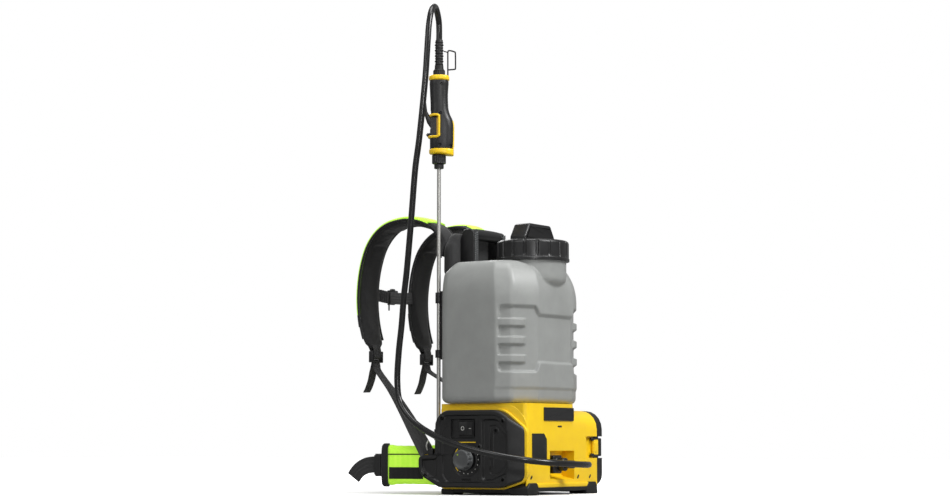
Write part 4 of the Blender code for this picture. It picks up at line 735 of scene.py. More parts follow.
def atWand(grid):  # from the wand's own axes to the tank's
    x, y = grid[..., 0], grid[..., 1]
    return np.stack([wandFacts["x"] + x * math.cos(wandTurn) - y * math.sin(wandTurn),
                     wandFacts["y"] + x * math.sin(wandTurn) + y * math.cos(wandTurn), grid[..., 2]], -1)


def onWand(grids):
    return [(atWand(grid), capped) for grid, capped in grids]


handleSections = np.array([  # height above the grip's foot, back and front reach, half width
    (0.3, -28.5, 18.5, 17.6), (6.0, -29.2, 18.6, 18.2), (30.0, -29.8, 18.5, 19.0),
                           (50.0, -29.6, 18.2, 18.8),
    (60.0, -27.5, 17.8, 18.4), (70.0, -22.8, 17.5, 18.0), (82.0, -19.4, 17.4, 17.6),
                           (94.0, -18.4, 17.5, 17.4),
    (110.0, -18.0, 18.3, 17.8), (128.0, -19.0, 19.2, 18.6), (136.0, -19.5, 19.5, 19.0),
                           (140.4, -19.2, 19.2, 18.8)])
handleScrews = ((-2.0, 7.0), (-24.0, 5.5), (-4.0, 72.0), (-6.0, 132.0))


def gripSurface(rows=260, columns=192):
    # a rounded section by height; minus the parting line, the trigger's pocket and the screw wells
    up = np.linspace(handleSections[0, 0], handleSections[-1, 0], rows)
    tangent = np.gradient(handleSections[:, 1:], handleSections[:, 0], axis=0)
    index = np.clip(np.searchsorted(handleSections[:, 0], up) - 1, 0, len(handleSections) - 2)
    span = (handleSections[index + 1, 0] - handleSections[index, 0])[:, None]
    t = ((up - handleSections[index, 0])[:, None]) / span
    a, b = handleSections[index, 1:], handleSections[index + 1, 1:]
    values = (a * (1 + 2 * t) * (1 - t) ** 2 + b * t ** 2 * (3 - 2 * t)
              + span * (tangent[index] * t * (1 - t) ** 2 - tangent[index + 1] * t ** 2 * (1 - t)))
    back, front, half = values[:, 0:1], values[:, 1:2], values[:, 2:3]
    angle = np.linspace(0, 2 * math.pi, columns, endpoint=False)[None, :]
    x = (back + front) / 2 + (front - back) / 2 * np.sign(np.cos(angle)) * np.abs(np.cos(angle)) ** 0.8
    y = half * np.sign(np.sin(angle)) * np.abs(np.sin(angle)) ** 0.8
    z = np.broadcast_to(up[:, None], x.shape)
    # parting line round the two halves
    seam = 0.45 * np.exp(-(y / 0.5) ** 2)
    x = x - np.sign(x) * seam
    # the trigger's pocket: both cheeks step in towards a thin web
    pocket = smoothStep(x, -1.0, 1.0) * smoothStep(z, 26.0, 28.0) * (1 - smoothStep(z, 67.0, 69.0))
    y = y * (1 - pocket) + np.clip(y, -7.4, 7.4) * pocket
    slotDeep = smoothStep(7.5 - np.abs(y), 0, 1.2) * smoothStep(z, 40,
                                                                42) * (1 - smoothStep(z, 76,
                                                                        79)) * smoothStep(x, 4, 8)
    x = x - slotDeep * 6.0
    # screw wells on both cheeks
    for wellX, wellZ in handleScrews:
        reach = np.hypot(x - wellX, z - wellZ)
        well = (1 - smoothStep(reach, 2.2, 2.9)) * (np.abs(y) > 9)
        y = y - np.sign(y) * well * 3.0
    # soft grip: shallow finger ribs at the back
    ribs = 0.35 * np.cos((z - 84) / 3.2 * 2 * math.pi) * smoothStep(z, 82,
                                                                    90) * (1 - smoothStep(z, 118, 126))
    x = x + ribs * smoothStep(-x, 8, 16)
    return np.stack([x, y, z + g], -1)


meshFrom("handleShell", onWand([(gripSurface(), True)]), paint["black"], "wand",
         ["handle_left", "handle_right"],
         sharp=50)


def ringSection(low, high, back, front, half, rim, sides=72):
    # a rounded section between two heights, with rims rounded by a quarter circle
    angle = np.linspace(0, 2 * math.pi, sides, endpoint=False)
    rows = []
    turns = np.linspace(0, math.pi / 2, 5)
    for t, base in [(t, low + rim * (1 - math.cos(t)))
                    for t in turns] + [(t, high - rim * (1 - math.cos(t)))
                                                                        for t in turns[::-1]]:
        inwards = rim * (1 - math.sin(t))
        x = (back + front) / 2 + ((front - back) / 2
                                  - inwards) * np.sign(np.cos(angle)) * np.abs(np.cos(angle)) ** 0.8
        y = (half - inwards) * np.sign(np.sin(angle)) * np.abs(np.sin(angle)) ** 0.8
        rows.append(np.stack([x, y, np.full(sides, base)], -1))
    return np.array(rows)


lower = ringSection(g - 10.6, g - 0.1, -30.2, 20.2, 19.6, 3.0)
tilt = np.clip(-lower[..., 0] - 5, 0, 30) * 0.16
lower[..., 2] -= tilt * (lower[..., 2] < g - 4)
meshFrom("lowerCollarRing", onWand([(lower, True)]), paint["yellow"], "wand", ["handle_collar"],
         sharp=60)
upper = ringSection(g + 140.6, g + 151.0, -21.0, 21.0, 21.0, 3.4)
meshFrom("upperCollarRing", onWand([(upper, True)]), paint["yellow"], "wand", ["handle_band"],
         sharp=60)
edgeHeights = np.linspace(-3.0, 57.5, 50)
edgeBack = np.interp(edgeHeights, handleSections[:, 0], handleSections[:, 1])
edgePath = np.stack([edgeBack + 0.2, np.zeros(50), edgeHeights + g], -1)
meshFrom("handleEdgeStrip",
         onWand([bandGrid(edgePath, (0.0, 1.0, 0.0), 13.0 - 3.0 * smoothStep(edgeHeights, 40, 57),
                                            3.4, sides=20)]), paint["yellow"], "wand",
         sharp=60)
# the trigger's guard: one closed bar bent round the front of the handle
guardCorner = [(-0.5, 19.6, -24.0), (-0.5, 19.9, -21.0), (-0.5, 19.9, 16.0), (0.8, 19.7, 20.0),
               (5.0, 19.0, 21.4),
               (12.0, 16.5, 21.4), (17.5, 11.5, 21.0), (20.2, 5.0, 20.6), (20.6, 0.0, 20.5)]
upperHalf = np.array([(x, y, z + 47.0 + g) for x, y, z in guardCorner[1:]])
lowerHalf = upperHalf * (1, 1, -1) + (0, 0, 2 * (g + 47.0 - 1.0))
loop = np.vstack([lowerHalf[::-1][:-1], upperHalf[:-2]])
mirrored = loop[::-1] * (1, -1, 1)
for side, route in (("Near", loop), ("Far", mirrored)):
    smooth = smoothLine(route, 110)
    bar, _ = tubeGrid(smooth, 2.5, 16)
    if side == "Near":
        guardGrids = [(bar, True)]
    else:
        guardGrids.append((bar, True))
meshFrom("triggerGuardBar", onWand(guardGrids), paint["yellow"], "wand", ["trigger_guard"],
         sharp=60)
triggerOutline = outlineOf([
    (10.0, g + 43, 3), (17.0, g + 43, 4), (24.5, g + 54, 10), (30.5, g + 72, 12), (32.8, g + 100, 12),
    (36.0, g + 124, 2.2), (32.0, g + 126.5, 2.2), (27.0, g + 101, 12), (24.2, g + 78, 10),
                            (16.5, g + 63, 6),
    (10.0, g + 57, 3)], 6)
meshFrom("triggerLever", onWand([plateGrid(triggerOutline, -5.2, 5.2, "Y", 2.0, 4)]), paint["satin"],
         "trigger",
         ["trigger"], sharp=45)
lockAcross = turnedGrid([(0.1, 18.6), (3.6, 18.6), (4.0, 19.0), (4.0, 23.6), (3.4, 24.4), (0.1, 24.4)],
                        32)[0]
lockGrid = np.stack([lockAcross[..., 2], lockAcross[..., 0], lockAcross[..., 1] + g + 29.0], -1)
lockBar = blockGrid((24.0, -5.4, g + 27.9), (26.2, 5.4, g + 30.1), 0.7, 0.7)
meshFrom("triggerLockPin", onWand([(lockGrid, True), lockBar]), paint["satin"], "trigger_lock",
         ["trigger_lock"],
         sharp=45)


def knurl(count, depth, low, high):
    def ripple(angle, radius, height):
        fade = smoothStep(height, low, low + 0.8) * (1 - smoothStep(height, high - 0.8, high))
        return radius - depth * (0.5 - 0.5 * np.cos(angle * count)) * fade
    return ripple


nutProfile = [(4.3, 658.4), (9.0, 658.4), (9.8, 659.2), (9.8, 666.4), (10.4, 667.4), (13.6, 668.6),
              (14.2, 669.4),
              (14.2, 672.0), (14.2, 680.0), (14.2, 685.4), (13.4, 686.6), (12.0, 688.2), (4.3, 688.2)]
nutRows = [(r, z) for (r, z), (r2, z2) in zip(nutProfile, nutProfile[1:]) for r, z in
           zip(np.linspace(r, r2, 5)[:-1], np.linspace(z, z2, 5)[:-1])] + [nutProfile[-1]]
meshFrom("lanceNut", onWand([(turnedGrid(nutRows, 288, ripple=knurl(24, 0.9, 669.6, 685.6))[0], False)]),
         paint["black"], body_of(frame["nodes"]["wand_nut"])[0], ["wand_nut"], sharp=40)
lanceProfile = [(0.05, 146.4), (3.6, 146.4), (4.0, 146.8), (4.0, 694.0), (0.05, 694.0)]
meshFrom("lanceTube", onWand([turnedGrid(lanceProfile, 40)]), paint["steel"], "wand", ["lance"],
         sharp=40)
nozzleProfile = [(0.6, 112.2), (2.2, 112.0), (3.4, 112.6), (6.2, 114.6), (6.5, 115.4), (6.5, 124.0),
                 (6.0, 125.0),
                 (6.5, 126.0), (6.5, 141.6), (5.9, 143.0), (5.2, 146.0), (0.6, 146.0)]
nozzleRows = [(r, z) for (r, z), (r2, z2) in zip(nozzleProfile, nozzleProfile[1:]) for r, z in
              zip(np.linspace(r, r2, 5)[:-1], np.linspace(z, z2, 5)[:-1])] + [nozzleProfile[-1]]
meshFrom("sprayTip", onWand([turnedGrid(nozzleRows, 144, ripple=knurl(18, 0.7, 128.0, 140.0))]),
         paint["brass"],
         "nozzle", ["nozzle_tip"], sharp=40)
top = g + 151.1
reliefRows = [(6.7, top), (11.6, top),
              (12.2, top + 0.6)] + [(12.2, top + h) for h in np.linspace(1.0, 10.4, 12)]
reliefRows += [(11.4, top + 11.4), (9.8, top + 13.0), (9.7, top + 21.5)]
for index in range(9):  # the boot's ribs, each a rounded ring
    foot = top + 22.5 + 5.65 * index
    reliefRows += [(7.5, foot), (8.7, foot + 0.25), (9.1, foot + 0.8), (9.1, foot + 2.3),
                   (8.7, foot + 2.9), (7.5, foot + 3.1)]
reliefRows += [(7.5, 923.6), (7.0, 924.7), (6.4, 924.7)]


def reliefRipple(angle, radius, height):
    # knurled foot, then slots through every rib, turned a quarter from one rib to the next
    knurled = 0.7 * (0.5 - 0.5 * np.cos(angle * 20)) * smoothStep(height, top + 1,
                                                                  top + 2) * (1 - smoothStep(height,
                                                                          top + 9.5, top + 10.5))
    row = np.floor((height - top - 21.5) / 5.65)
    slots = smoothStep(np.cos(2 * angle + row * math.pi), 0.62, 0.8) * (row >= 0) * (radius > 7.6)
    return radius - knurled - slots * (radius - 7.5)


meshFrom("hoseBoot", onWand([(turnedGrid(reliefRows, 160, ripple=reliefRipple)[0], False)]),
         paint["rubber"], "wand",
         ["strain_relief"], sharp=40)
hookRoute = [(-17.8, 0, top + 0.4), (-17.8, 0, top + 25), (-17.8, 0, top + 48.5), (-18.6, 0, top + 51.2),
             (-21.0, 0, top + 52.4),
             (-28.6, 0, top + 50.8), (-31.8, 0, top + 49.2), (-33.2, 0, top + 46.4), (-33.5, 0, top + 17),
             (-32.6, 0, top + 14.2),
             (-30.5, 0, top + 13.4), (-18.4, 0, top + 12.4)]
hookPath = smoothLine(hookRoute, 150)
armPath = smoothLine([(-17.8, 0, top + 48), (-14.5, 1.5, top + 49.4), (-9.4, 3.0, top + 50.4)], 14)
meshFrom("hangingWire",
         onWand([tubeGrid(hookPath, 1.5, 14, (0, 1, 0)), tubeGrid(armPath, 1.1, 10, (0, 1, 0))]),
         paint["wire"], "hook", ["wire_hook"], sharp=60)
print("wand drawn")

# padded pieces: a closed form, remeshed, blown up a little as cloth, and then sewn
def inflated(name, grids, material, body, replaces, facts, sew=None):
    # facts: voxel, how far a point may move, pressure and fill; sew moves the final points
    rough = meshFrom(name + "Pattern", grids, material, None)
    remesh = rough.modifiers.new("evenCloth", "REMESH")
    remesh.mode = "VOXEL"
    remesh.voxel_size = facts["voxel"] / 1000
    scene = bpy.context.scene

    def baked(made):
        shape = bpy.data.meshes.new_from_object(made.evaluated_get(bpy.context.evaluated_depsgraph_get()))
        old = made.data
        made.modifiers.clear()
        made.data = shape
        bpy.data.meshes.remove(old)

    def pointsOf(mesh):
        flat = np.zeros(len(mesh.vertices) * 3, dtype=np.float32)
        mesh.vertices.foreach_get("co", flat)
        return flat.reshape(-1, 3).astype(float)

    baked(rough)
    start = pointsOf(rough.data)
    cloth = rough.modifiers.new("padding", "CLOTH")
    cloth.settings.quality = 5
    cloth.settings.mass = 0.3
    cloth.settings.tension_stiffness = 15
    cloth.settings.compression_stiffness = 15
    cloth.settings.bending_stiffness = 0.6
    cloth.settings.use_pressure = True
    cloth.settings.uniform_pressure_force = facts["pressure"]
    cloth.settings.effector_weights.gravity = 0
    cloth.point_cache.frame_start = 1
    cloth.point_cache.frame_end = 20
    for frameNumber in range(1, 21):
        scene.frame_set(frameNumber)
    baked(rough)
    moved = pointsOf(rough.data) - start
    far = np.linalg.norm(moved, axis=1, keepdims=True)
    moved *= np.minimum(1, facts["most"] / 1000 / np.maximum(far, 1e-9))
    rough.data.vertices.foreach_set("co", (start + moved).astype(np.float32).reshape(-1))
    scene.frame_set(1)
    finer = rough.modifiers.new("finer", "SUBSURF")
    finer.levels = 1
    finer.render_levels = 1
    baked(rough)
    if sew is not None:
        points = (pointsOf(rough.data) - tankAxis) * 1000
        rough.data.vertices.foreach_set("co", place(sew(points)).astype(np.float32).reshape(-1))
    rough.data.update()
    rough.data.shade_smooth()
    rough.name = name
    rough.data.name = name
    if rough.data.materials and rough.data.materials[0] != material:
        rough.data.materials[0] = material
    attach(rough, body)
    if replaces:
        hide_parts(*replaces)
    return rough


strapFacts = {"thick": 12.5, "cover": (0.17, 0.84), "edge": 0.62}
strapLine = [(8.5, 12), (8.5, 40), (18, 66), (40, 83), (70, 90), (100, 89), (128, 82), (152, 67),
             (172, 43), (185, 12),
             (193, -24), (196, -64), (193, -104), (185, -140), (173, -170)]
padFacts = {"voxel": 4.5, "most": 3.0, "pressure": 3.0, "fill": 0.6}


def strapCourse(count=180):  # y, z and the two edges' distances from the middle, along the strap
    share = np.clip((np.arange(len(strapLine)) - 1) / 3, 0, 1)
    line = np.array(strapLine, float)
    course = np.column_stack([111.6 + line[:, 0], 465.6 + line[:, 1], 35 + 20 * share, 97 + 27 * share])
    course = smoothLine(course, count)
    ahead = np.gradient(course[:, :2], axis=0)
    ahead /= np.linalg.norm(ahead, axis=1, keepdims=True)
    return course, np.stack([-ahead[:, 1], ahead[:, 0]], -1)


def strapRing(sign, angles, lift, first=0.0, last=1.0, tuck=0.0, round_=True, thick=None):
    # the strap's section: a flat superellipse across x, lifted along the outward normal
    course, outwards = strapCourse()
    t = np.linspace(0, 1, len(course))
    keep = (t >= first) & (t <= last)
    course, outwards, t = course[keep], outwards[keep], t[keep]
    middle = sign * (course[:, 2] + course[:, 3]) / 2
    half = (course[:, 3] - course[:, 2]) / 2 - tuck
    ending = np.sqrt(np.clip(1 - np.clip((t - 0.945) / 0.056, 0, 1) ** 2, 0.0004,
                             1)) if round_ else np.ones(len(t))
    thick = strapFacts["thick"] if thick is None else thick
    a = np.sign(np.cos(angles)) * np.abs(np.cos(angles)) ** strapFacts["edge"]
    b = np.sign(np.sin(angles)) * np.abs(np.sin(angles)) ** strapFacts["edge"]
    x = middle[:, None] + a[None] * half[:, None] * ending[:, None]
    raised = b[None] * (thick / 2) * ending[:, None] * (1 + 0.10 * (1 - a[None] ** 2)) + lift[None]
    y = course[:, 0:1] + outwards[:, 0:1] * raised
    z = course[:, 1:2] + outwards[:, 1:2] * raised
    return np.stack([x, y, z], -1), t


def strapSew(points):  # shallow quilted waves along the pad
    course, outwards = strapCourse()
    middle = course[:, :2]
    nearest = np.argmin(np.hypot(points[:, 1:2] - middle[None, :, 0], points[:, 2:3] - middle[None, :, 1]),
                        axis=1)
    depth = np.sum((points[:, 1:] - middle[nearest]) * outwards[nearest], axis=1)
    across = np.abs(points[:, 0])
    inner, outer = course[nearest, 2], course[nearest, 3]
    fromEdge = np.minimum(across - inner, outer - across)
    sewn = 0.42 * np.exp(-((fromEdge - 7.0) / 2.2) ** 2)
    pulled = points.copy()
    pulled[:, 1:] -= outwards[nearest] * (depth * sewn)[:, None]
    return pulled


full = np.linspace(0, 2 * math.pi, 40, endpoint=False)
for side, sign in (("Near", -1), ("Far", 1)):
    node = "shoulder_strap_" + side.lower()
    ring, t = strapRing(sign, full, np.zeros(40), tuck=2.4)
    inflated("shoulderPad" + side, [(ring, True)], paint["mesh"], "root", [node], padFacts,
             strapSew)
    face = np.linspace(math.radians(15), math.radians(165), 30)
    both = np.concatenate([face, face[::-1]])
    lift = np.concatenate([np.full(30, 3.0 if side == "Near" else 2.2), np.full(30, 0.2)])
    ring, t = strapRing(sign, both, lift, *strapFacts["cover"], tuck=0.2 if side == "Near" else 9.0,
                        round_=False)
    meshFrom("strapCover" + side, [(ring, True)], paint["lime"], "root", sharp=50)
    edges = []
    for angle in (0.0, math.pi):
        edgeLine, t = strapRing(sign, np.array([angle]), np.array([1.2]), 0.0, 0.955, tuck=1.2,
                                round_=False)
        edges.append(tubeGrid(edgeLine[:, 0], 2.5, 12))
    meshFrom("strapBinding" + side, edges, paint["blackCloth"], "root", sharp=60)
    course, outwards = strapCourse()
    down = np.arange(180) > 90
    outside = np.column_stack([np.full(180, sign * 90.0), course[:, 0] + outwards[:, 0] * 9.6,
                               course[:, 1] + outwards[:, 1] * 9.6])
    pouch = outside[down & (course[:, 1] < 382) & (course[:, 1] > 343)]
    meshFrom("strapPouch" + side, [bandGrid(pouch, (1, 0, 0), 50, 7.5, 0.1, 24, 0.35)],
             paint["blackCloth"], "root",
             sharp=60)
    tab = outside[down & (course[:, 1] < 443) & (course[:, 1] > 420)] + (sign * 12, 0, 0)
    meshFrom("strapTab" + side, [bandGrid(tab, (1, 0, 0), 22, 5.5, 0.1, 20, 0.35)], paint["green"], "root",
             sharp=60)
    # adjuster: a frame with a wide bar above and a narrow one below, in the strap's plane
    low, high = nodeBox("strap_adjuster_" + side.lower())
    middle = (low + high) / 2
    frameGrids = []
    for x in (low[0] + 2.4, high[0] - 2.4):
        frameGrids.append(blockGrid((x - 2.4, low[1] + 3, low[2]), (x + 2.4, high[1] - 3, high[2]), 1.4,
                                    1.6))
    for height, deep in ((high[2] - 3.2, 3.2), (middle[2] + 1.0, 2.0), (low[2] + 2.4, 2.4)):
        frameGrids.append(tubeGrid(np.array([(low[0] + 2, middle[1], height),
                                             (high[0] - 2, middle[1], height)]),
                                   deep, 20, (0, 1, 0)))
    meshFrom("strapAdjuster" + side, frameGrids, paint["satin"], "root",
             ["strap_adjuster_" + side.lower()],
             sharp=45)
    # short webbing sewn to the pad's outer face, down through the adjuster's upper bar and back up
    lowEnd = outside[down & (course[:, 1] < 345)]
    top = np.array([middle[0], middle[1], high[2]])
    slip = smoothLine([lowEnd[0], lowEnd[len(lowEnd) // 2], lowEnd[-1] + (0, -1.5, 0), top + (0, 4.4, 1.0),
                       top + (0, 3.8, -12.0),
                       top + (0, 0.0, -16.5), top + (0, -3.8, -12.0), top + (0, -3.0, 3.0),
                       top + (0, 1.0, 14.0)], 80)
    slip[:, 0] = np.interp(np.linspace(0, 1, 80), [0, 0.5, 1], [sign * 90.0, middle[0], middle[0]])
    meshFrom("strapEndWebbing" + side, [bandGrid(slip, (1, 0, 0), 25.0, 2.0, 0, 20, 0.3)],
             paint["webbing"], "root",
             sharp=50, uvScale=3.0)
    # lower webbing: from the adjuster to the base, with a hanging tail
    start = np.array([middle[0], middle[1], low[2] - 1.0])
    node = "lower_webbing_" + side.lower()
    if side == "Near":
        foot = np.array([-131.5, 126.0, 81.0])
        widths, leans = (25.0, 33.0), np.array([(1, 0, 0), (0.6, -0.75, -0.2)])
    else:
        foot = np.array([80.0, 108.5, 140.0])
        widths, leans = (25.0, 25.0), np.array([(1, 0, 0), (1, 0, 0)])
    route = [start + (0, 1.0, 6.0), start + (0, -1.5, -4.0), start * 0.94 + foot * 0.06 + (0, 1.5, -6),
             start * 0.65 + foot * 0.35 + (0, 1, 3.5),
             start * 0.35 + foot * 0.65 + (0, 2.5, 8), start * 0.10 + foot * 0.90 + (0, 3.0, 6.5), foot]
    path = smoothLine(route, 90)
    mix = smoothStep(np.linspace(0, 1, 90), 0.1, 0.95)[:, None]
    across = leans[0] * (1 - mix) + leans[1] * mix
    wide = widths[0] + (widths[1] - widths[0]) * mix[:, 0]
    tailPath = smoothLine([start + (0, 1.5, 7), start + (0, 3.0, -2), start + (0, 7.5, -18),
                           start + (0, 12.0, -36),
                           start + (0, 19.0, -52), start + (0, 24.0, -60)], 50)
    meshFrom("lowerWebbing" + side, [bandGrid(path, across, wide, 2.0, 0, 20, 0.3),
                                     bandGrid(tailPath, (1, 0, 0.12), 24.6, 2.0, 0, 20, 0.3)],
             paint["webbing"], "root", [node], 50, uvScale=3.0)
print("shoulder straps sewn")

# chest strap with its elastic folds, its keeper and its buckle
low, high = nodeBox("chest_strap")
chestY, chestZ = (low[1] + high[1]) / 2, (low[2] + high[2]) / 2
xs = np.linspace(low[0] - 6, high[0] + 6, 220)
folds = 1.7 * np.sin(np.clip((xs - low[0]) / 6.5, 0, 4.5) * 2 * math.pi) * smoothStep(-xs, -low[0] - 32,
        -low[0] - 26)
chestPath = np.column_stack([xs, chestY + folds, np.full(220, chestZ) - 3.0 * (1 - (xs / high[0]) ** 2)])
chestWide = 25 + 1.2 * np.abs(folds) / 1.7
meshFrom("chestWebbing", [bandGrid(chestPath, (0, 0, 1), chestWide, 2.4, 0, 20, 0.3)], paint["webbing"],
         "root",
         ["chest_strap"], 50, uvScale=4.0)
keeper = [blockGrid((-23, chestY - 3.4, chestZ - 18), (-19.4, chestY + 3.4, chestZ + 13), 0.9, 1.0),
          blockGrid((-22.2, chestY - 1.6, chestZ - 30), (-20.2, chestY + 1.6, chestZ - 14), 0.6, 0.7)]
low, high = nodeBox("chest_buckle")
middle = (low + high) / 2
buckle = [blockGrid((low[0], low[1], low[2]), (middle[0] + 2, high[1], high[2]), 1.6, 3.0, "Y"),
          blockGrid((middle[0] + 2.6, low[1] + 0.4, low[2] + 3), (high[0], high[1] - 0.4, high[2] - 3),
                    1.4, 3.0, "Y"),
          blockGrid((low[0] + 3, high[1] - 0.6, middle[2] - 8),
                    (middle[0] - 1, high[1] + 0.8, middle[2] + 8), 0.6, 2.5, "Y")]
meshFrom("chestKeeperAndBuckle", keeper + buckle, paint["satin"], "root", ["chest_buckle"],
         sharp=45)

# back pad, yoke and hip wings
low, high = nodeBox("back_pad")


def padSew(points):
    # two upright channels and three cross ones, pressed in towards the pad's middle plane
    middle = (low[1] + high[1]) / 2
    pressed = np.zeros(len(points))
    for x in (-27.0, 27.0):
        pressed = np.maximum(pressed, np.exp(-((points[:, 0] - x) / 3.4) ** 2))
    for z in (265.0, 329.0, 393.0):
        pressed = np.maximum(pressed,
                             np.exp(-((points[:, 2] - z) / 3.4) ** 2) * (np.abs(points[:, 0]) > 27))
    moved = points.copy()
    moved[:, 1] = np.where(points[:, 1] > middle, middle + (points[:, 1] - middle) * (1 - 0.55 * pressed),
                           points[:, 1])
    moved[:, 1] = np.clip(moved[:, 1], low[1], high[1] + 4)
    return moved


inflated("backPadCushion", [blockGrid(low + (3, 0.6, 3), high - (3, 3.5, 3), 6.0, 24.0, "Y")],
         paint["mesh"], "root",
         ["back_pad"], {"voxel": 5.0, "most": 4.0, "pressure": 3.0, "fill": 0.6}, padSew)
low, high = nodeBox("strap_yoke")
inflated("yokePad", [blockGrid(low + (0, 0.5, 1.5), high - (0, 1.5, 1.5), 4.0, 10.0, "Y")], paint["mesh"],
         "root",
         ["strap_yoke"], {"voxel": 4.0, "most": 3.0, "pressure": 3.0, "fill": 0.6})

# the yoke's sleeve wraps the frame's top and carries both straps
sleeve = outlineOf([(-97, 440, 10), (97, 440, 10), (97, 500, 30), (70, 532, 26), (-70, 532, 26),
                    (-97, 500, 30)], 8)
inflated("yokeSleeve", [plateGrid(sleeve, 97.9, 114.4, "Y", 6.0, 5)], paint["mesh"], "root", (),
         {"voxel": 4.5, "most": 2.0, "pressure": 3.0, "fill": 0.6})

wingFacts = {"low": 14.0, "high": 102.0, "thick": 13.0}


def wingCourse(sign, count=90):
    line = smoothLine([(108.7, 105.6), (108.7, 125), (108.8, 145), (110.8, 165), (115.6, 185), (123.0, 213),
                       (130.6, 240)], count)
    line[:, 0] *= sign
    ahead = np.gradient(line, axis=0)
    ahead /= np.linalg.norm(ahead, axis=1, keepdims=True)
    return line, np.stack([ahead[:, 1], -ahead[:, 0]], -1) * sign


def wingRing(sign, first, last, thick, tuck=0.0, sides=48, rounded=0.25):
    # the wing's section stands upright: a flat superellipse in z, carried along the plan line
    line, outwards = wingCourse(sign)
    t = np.linspace(0, 1, len(line))
    keep = (t >= first) & (t <= last)
    line, outwards, t = line[keep], outwards[keep], t[keep]
    angle = np.linspace(0, 2 * math.pi, sides, endpoint=False)
    a = np.sign(np.cos(angle)) * np.abs(np.cos(angle)) ** 0.45
    b = np.sign(np.sin(angle)) * np.abs(np.sin(angle)) ** 0.45
    end = np.sqrt(np.clip(1 - np.clip((t - (last - 0.06)) / 0.0601, 0, 1) ** 2, 0,
                          1)) if rounded else np.ones(len(t))
    tall = (wingFacts["high"] - wingFacts["low"]) / 2 - tuck - (1 - end) * 12
    deep = thick / 2 * (0.35 + 0.65 * end)
    z = (wingFacts["high"] + wingFacts["low"]) / 2 + a[None] * tall[:, None]
    raised = b[None] * deep[:, None]
    return np.stack([line[:, 0:1] + outwards[:, 0:1] * raised, line[:, 1:2] + outwards[:, 1:2] * raised,
                     z], -1)


def wingPatch(sign, y0, y1, z0, z1, lift, thick, crown=0.0):
    # a thin piece lying on the wing's outer face between two places along it
    line, outwards = wingCourse(sign, 200)
    keep = (line[:, 1] >= y0) & (line[:, 1] <= y1)
    line, outwards = line[keep], outwards[keep]
    path = np.column_stack([line + outwards * lift, np.full(len(line), (z0 + z1) / 2)])
    return bandGrid(path, (0, 0, 1), z1 - z0, thick, crown, 24, 0.25)


for side, sign in (("Near", -1), ("Far", 1)):
    node = "belt_wing_" + side.lower()
    inflated("hipWing" + side, [(wingRing(sign, 0.0, 0.93, wingFacts["thick"], 1.5), True)], paint["lime"],
             "root",
             [node], {"voxel": 4.5, "most": 3.0, "pressure": 3.0, "fill": 0.7})
    meshFrom("wingTip" + side, [(wingRing(sign, 0.885, 1.0, 16.5, 0.0), True)], paint["blackCloth"], "root",
             sharp=60)
    lift = wingFacts["thick"] / 2 + 2.2
    patches = [wingPatch(sign, 146, 222, 30, 54, lift, 2.2),
               wingPatch(sign, 150, 224, 78.5, 81.0, lift, 2.6),
               wingPatch(sign, 146, 151, 73.0, 79.5, lift, 2.6)]
    meshFrom("wingLabelAndSeam" + side, patches, paint["blackCloth"], "root", sharp=60)
    inner = [wingPatch(sign, 108, 226, 20, 96, -wingFacts["thick"] / 2 - 1.4, 3.0)]
    meshFrom("wingLining" + side, inner, paint["mesh"], "root", sharp=60)
for side, sign in (("Near", -1), ("Far", 1)):
    # a slotted block at the wing's tip with the webbing's free end curving down out of it
    tip, ahead = np.array([sign * 131.0, 240.8]), np.array([sign * 0.268, 0.963])
    low, high = nodeBox("belt_adjuster_" + side.lower())
    middle = (max(low[2], high[2] - 46) + high[2]) / 2
    at = lambda away, drop: np.array([tip[0] + ahead[0] * away, tip[1] + ahead[1] * away, middle + drop])
    block = [bandGrid(np.array([at(0.5, 0), at(3.0, 0), at(6, 0), at(9, 0), at(12, 0)]), (0, 0, 1), 46.0,
                      9.5, 0, 28, 0.25),
             bandGrid(np.array([at(11.5, 0), at(13, 0), at(15, 0)]), (0, 0, 1), 40.0, 5.0, 0, 28, 0.25)]
    meshFrom("beltAdjuster" + side, block, paint["satin"], "root", ["belt_adjuster_" + side.lower()],
             sharp=45)
    tail = smoothLine([at(10, 1), at(20, 0.5), at(32, -1.5), at(44, -7), at(54, -16), at(61, -26)], 60)
    lean = np.column_stack([np.zeros(60), np.linspace(0, 0.75, 60), np.linspace(1, 0.75, 60)])
    meshFrom("beltTail" + side, [bandGrid(tail, lean, 33.0, 2.2, 0, 20, 0.3)], paint["webbing"], "root",
             sharp=50, uvScale=3.0)
print("hip wings sewn")

# control panel: a height field over its outline, with a skirt behind the edge
panelFacts = {"face": -141.0, "back": -118.3, "rim": 4.0, "rockerY": 30.0, "rockerZ": 131.0, "dialY": 29.0,
              "dialZ": 69.5}


def distanceTo(outline, a, b, closed=True):  # shortest distance from points to an outline's segments
    ends = np.roll(outline, -1, axis=0) if closed else outline[1:]
    starts = outline if closed else outline[:-1]
    nearest = np.full(a.shape, 1e9)
    for (ax, ay), (bx, by) in zip(starts, ends):
        dx, dy = bx - ax, by - ay
        t = np.clip(((a - ax) * dx + (b - ay) * dy) / (dx * dx + dy * dy + 1e-12), 0, 1)
        nearest = np.minimum(nearest, np.hypot(a - ax - t * dx, b - ay - t * dy))
    return nearest


def insideOf(outline, a, b):  # even-odd rule
    inside = np.zeros(a.shape, dtype=bool)
    for (ax, ay), (bx, by) in zip(outline, np.roll(outline, -1, axis=0)):
        crosses = ((ay > b) != (by > b)) & (a < (bx - ax) * (b - ay) / (by - ay + 1e-12) + ax)
        inside ^= crosses
    return inside


def signedInside(outline, a, b):  # positive inside the outline
    return np.where(insideOf(outline, a, b), 1, -1) * distanceTo(outline, a, b)


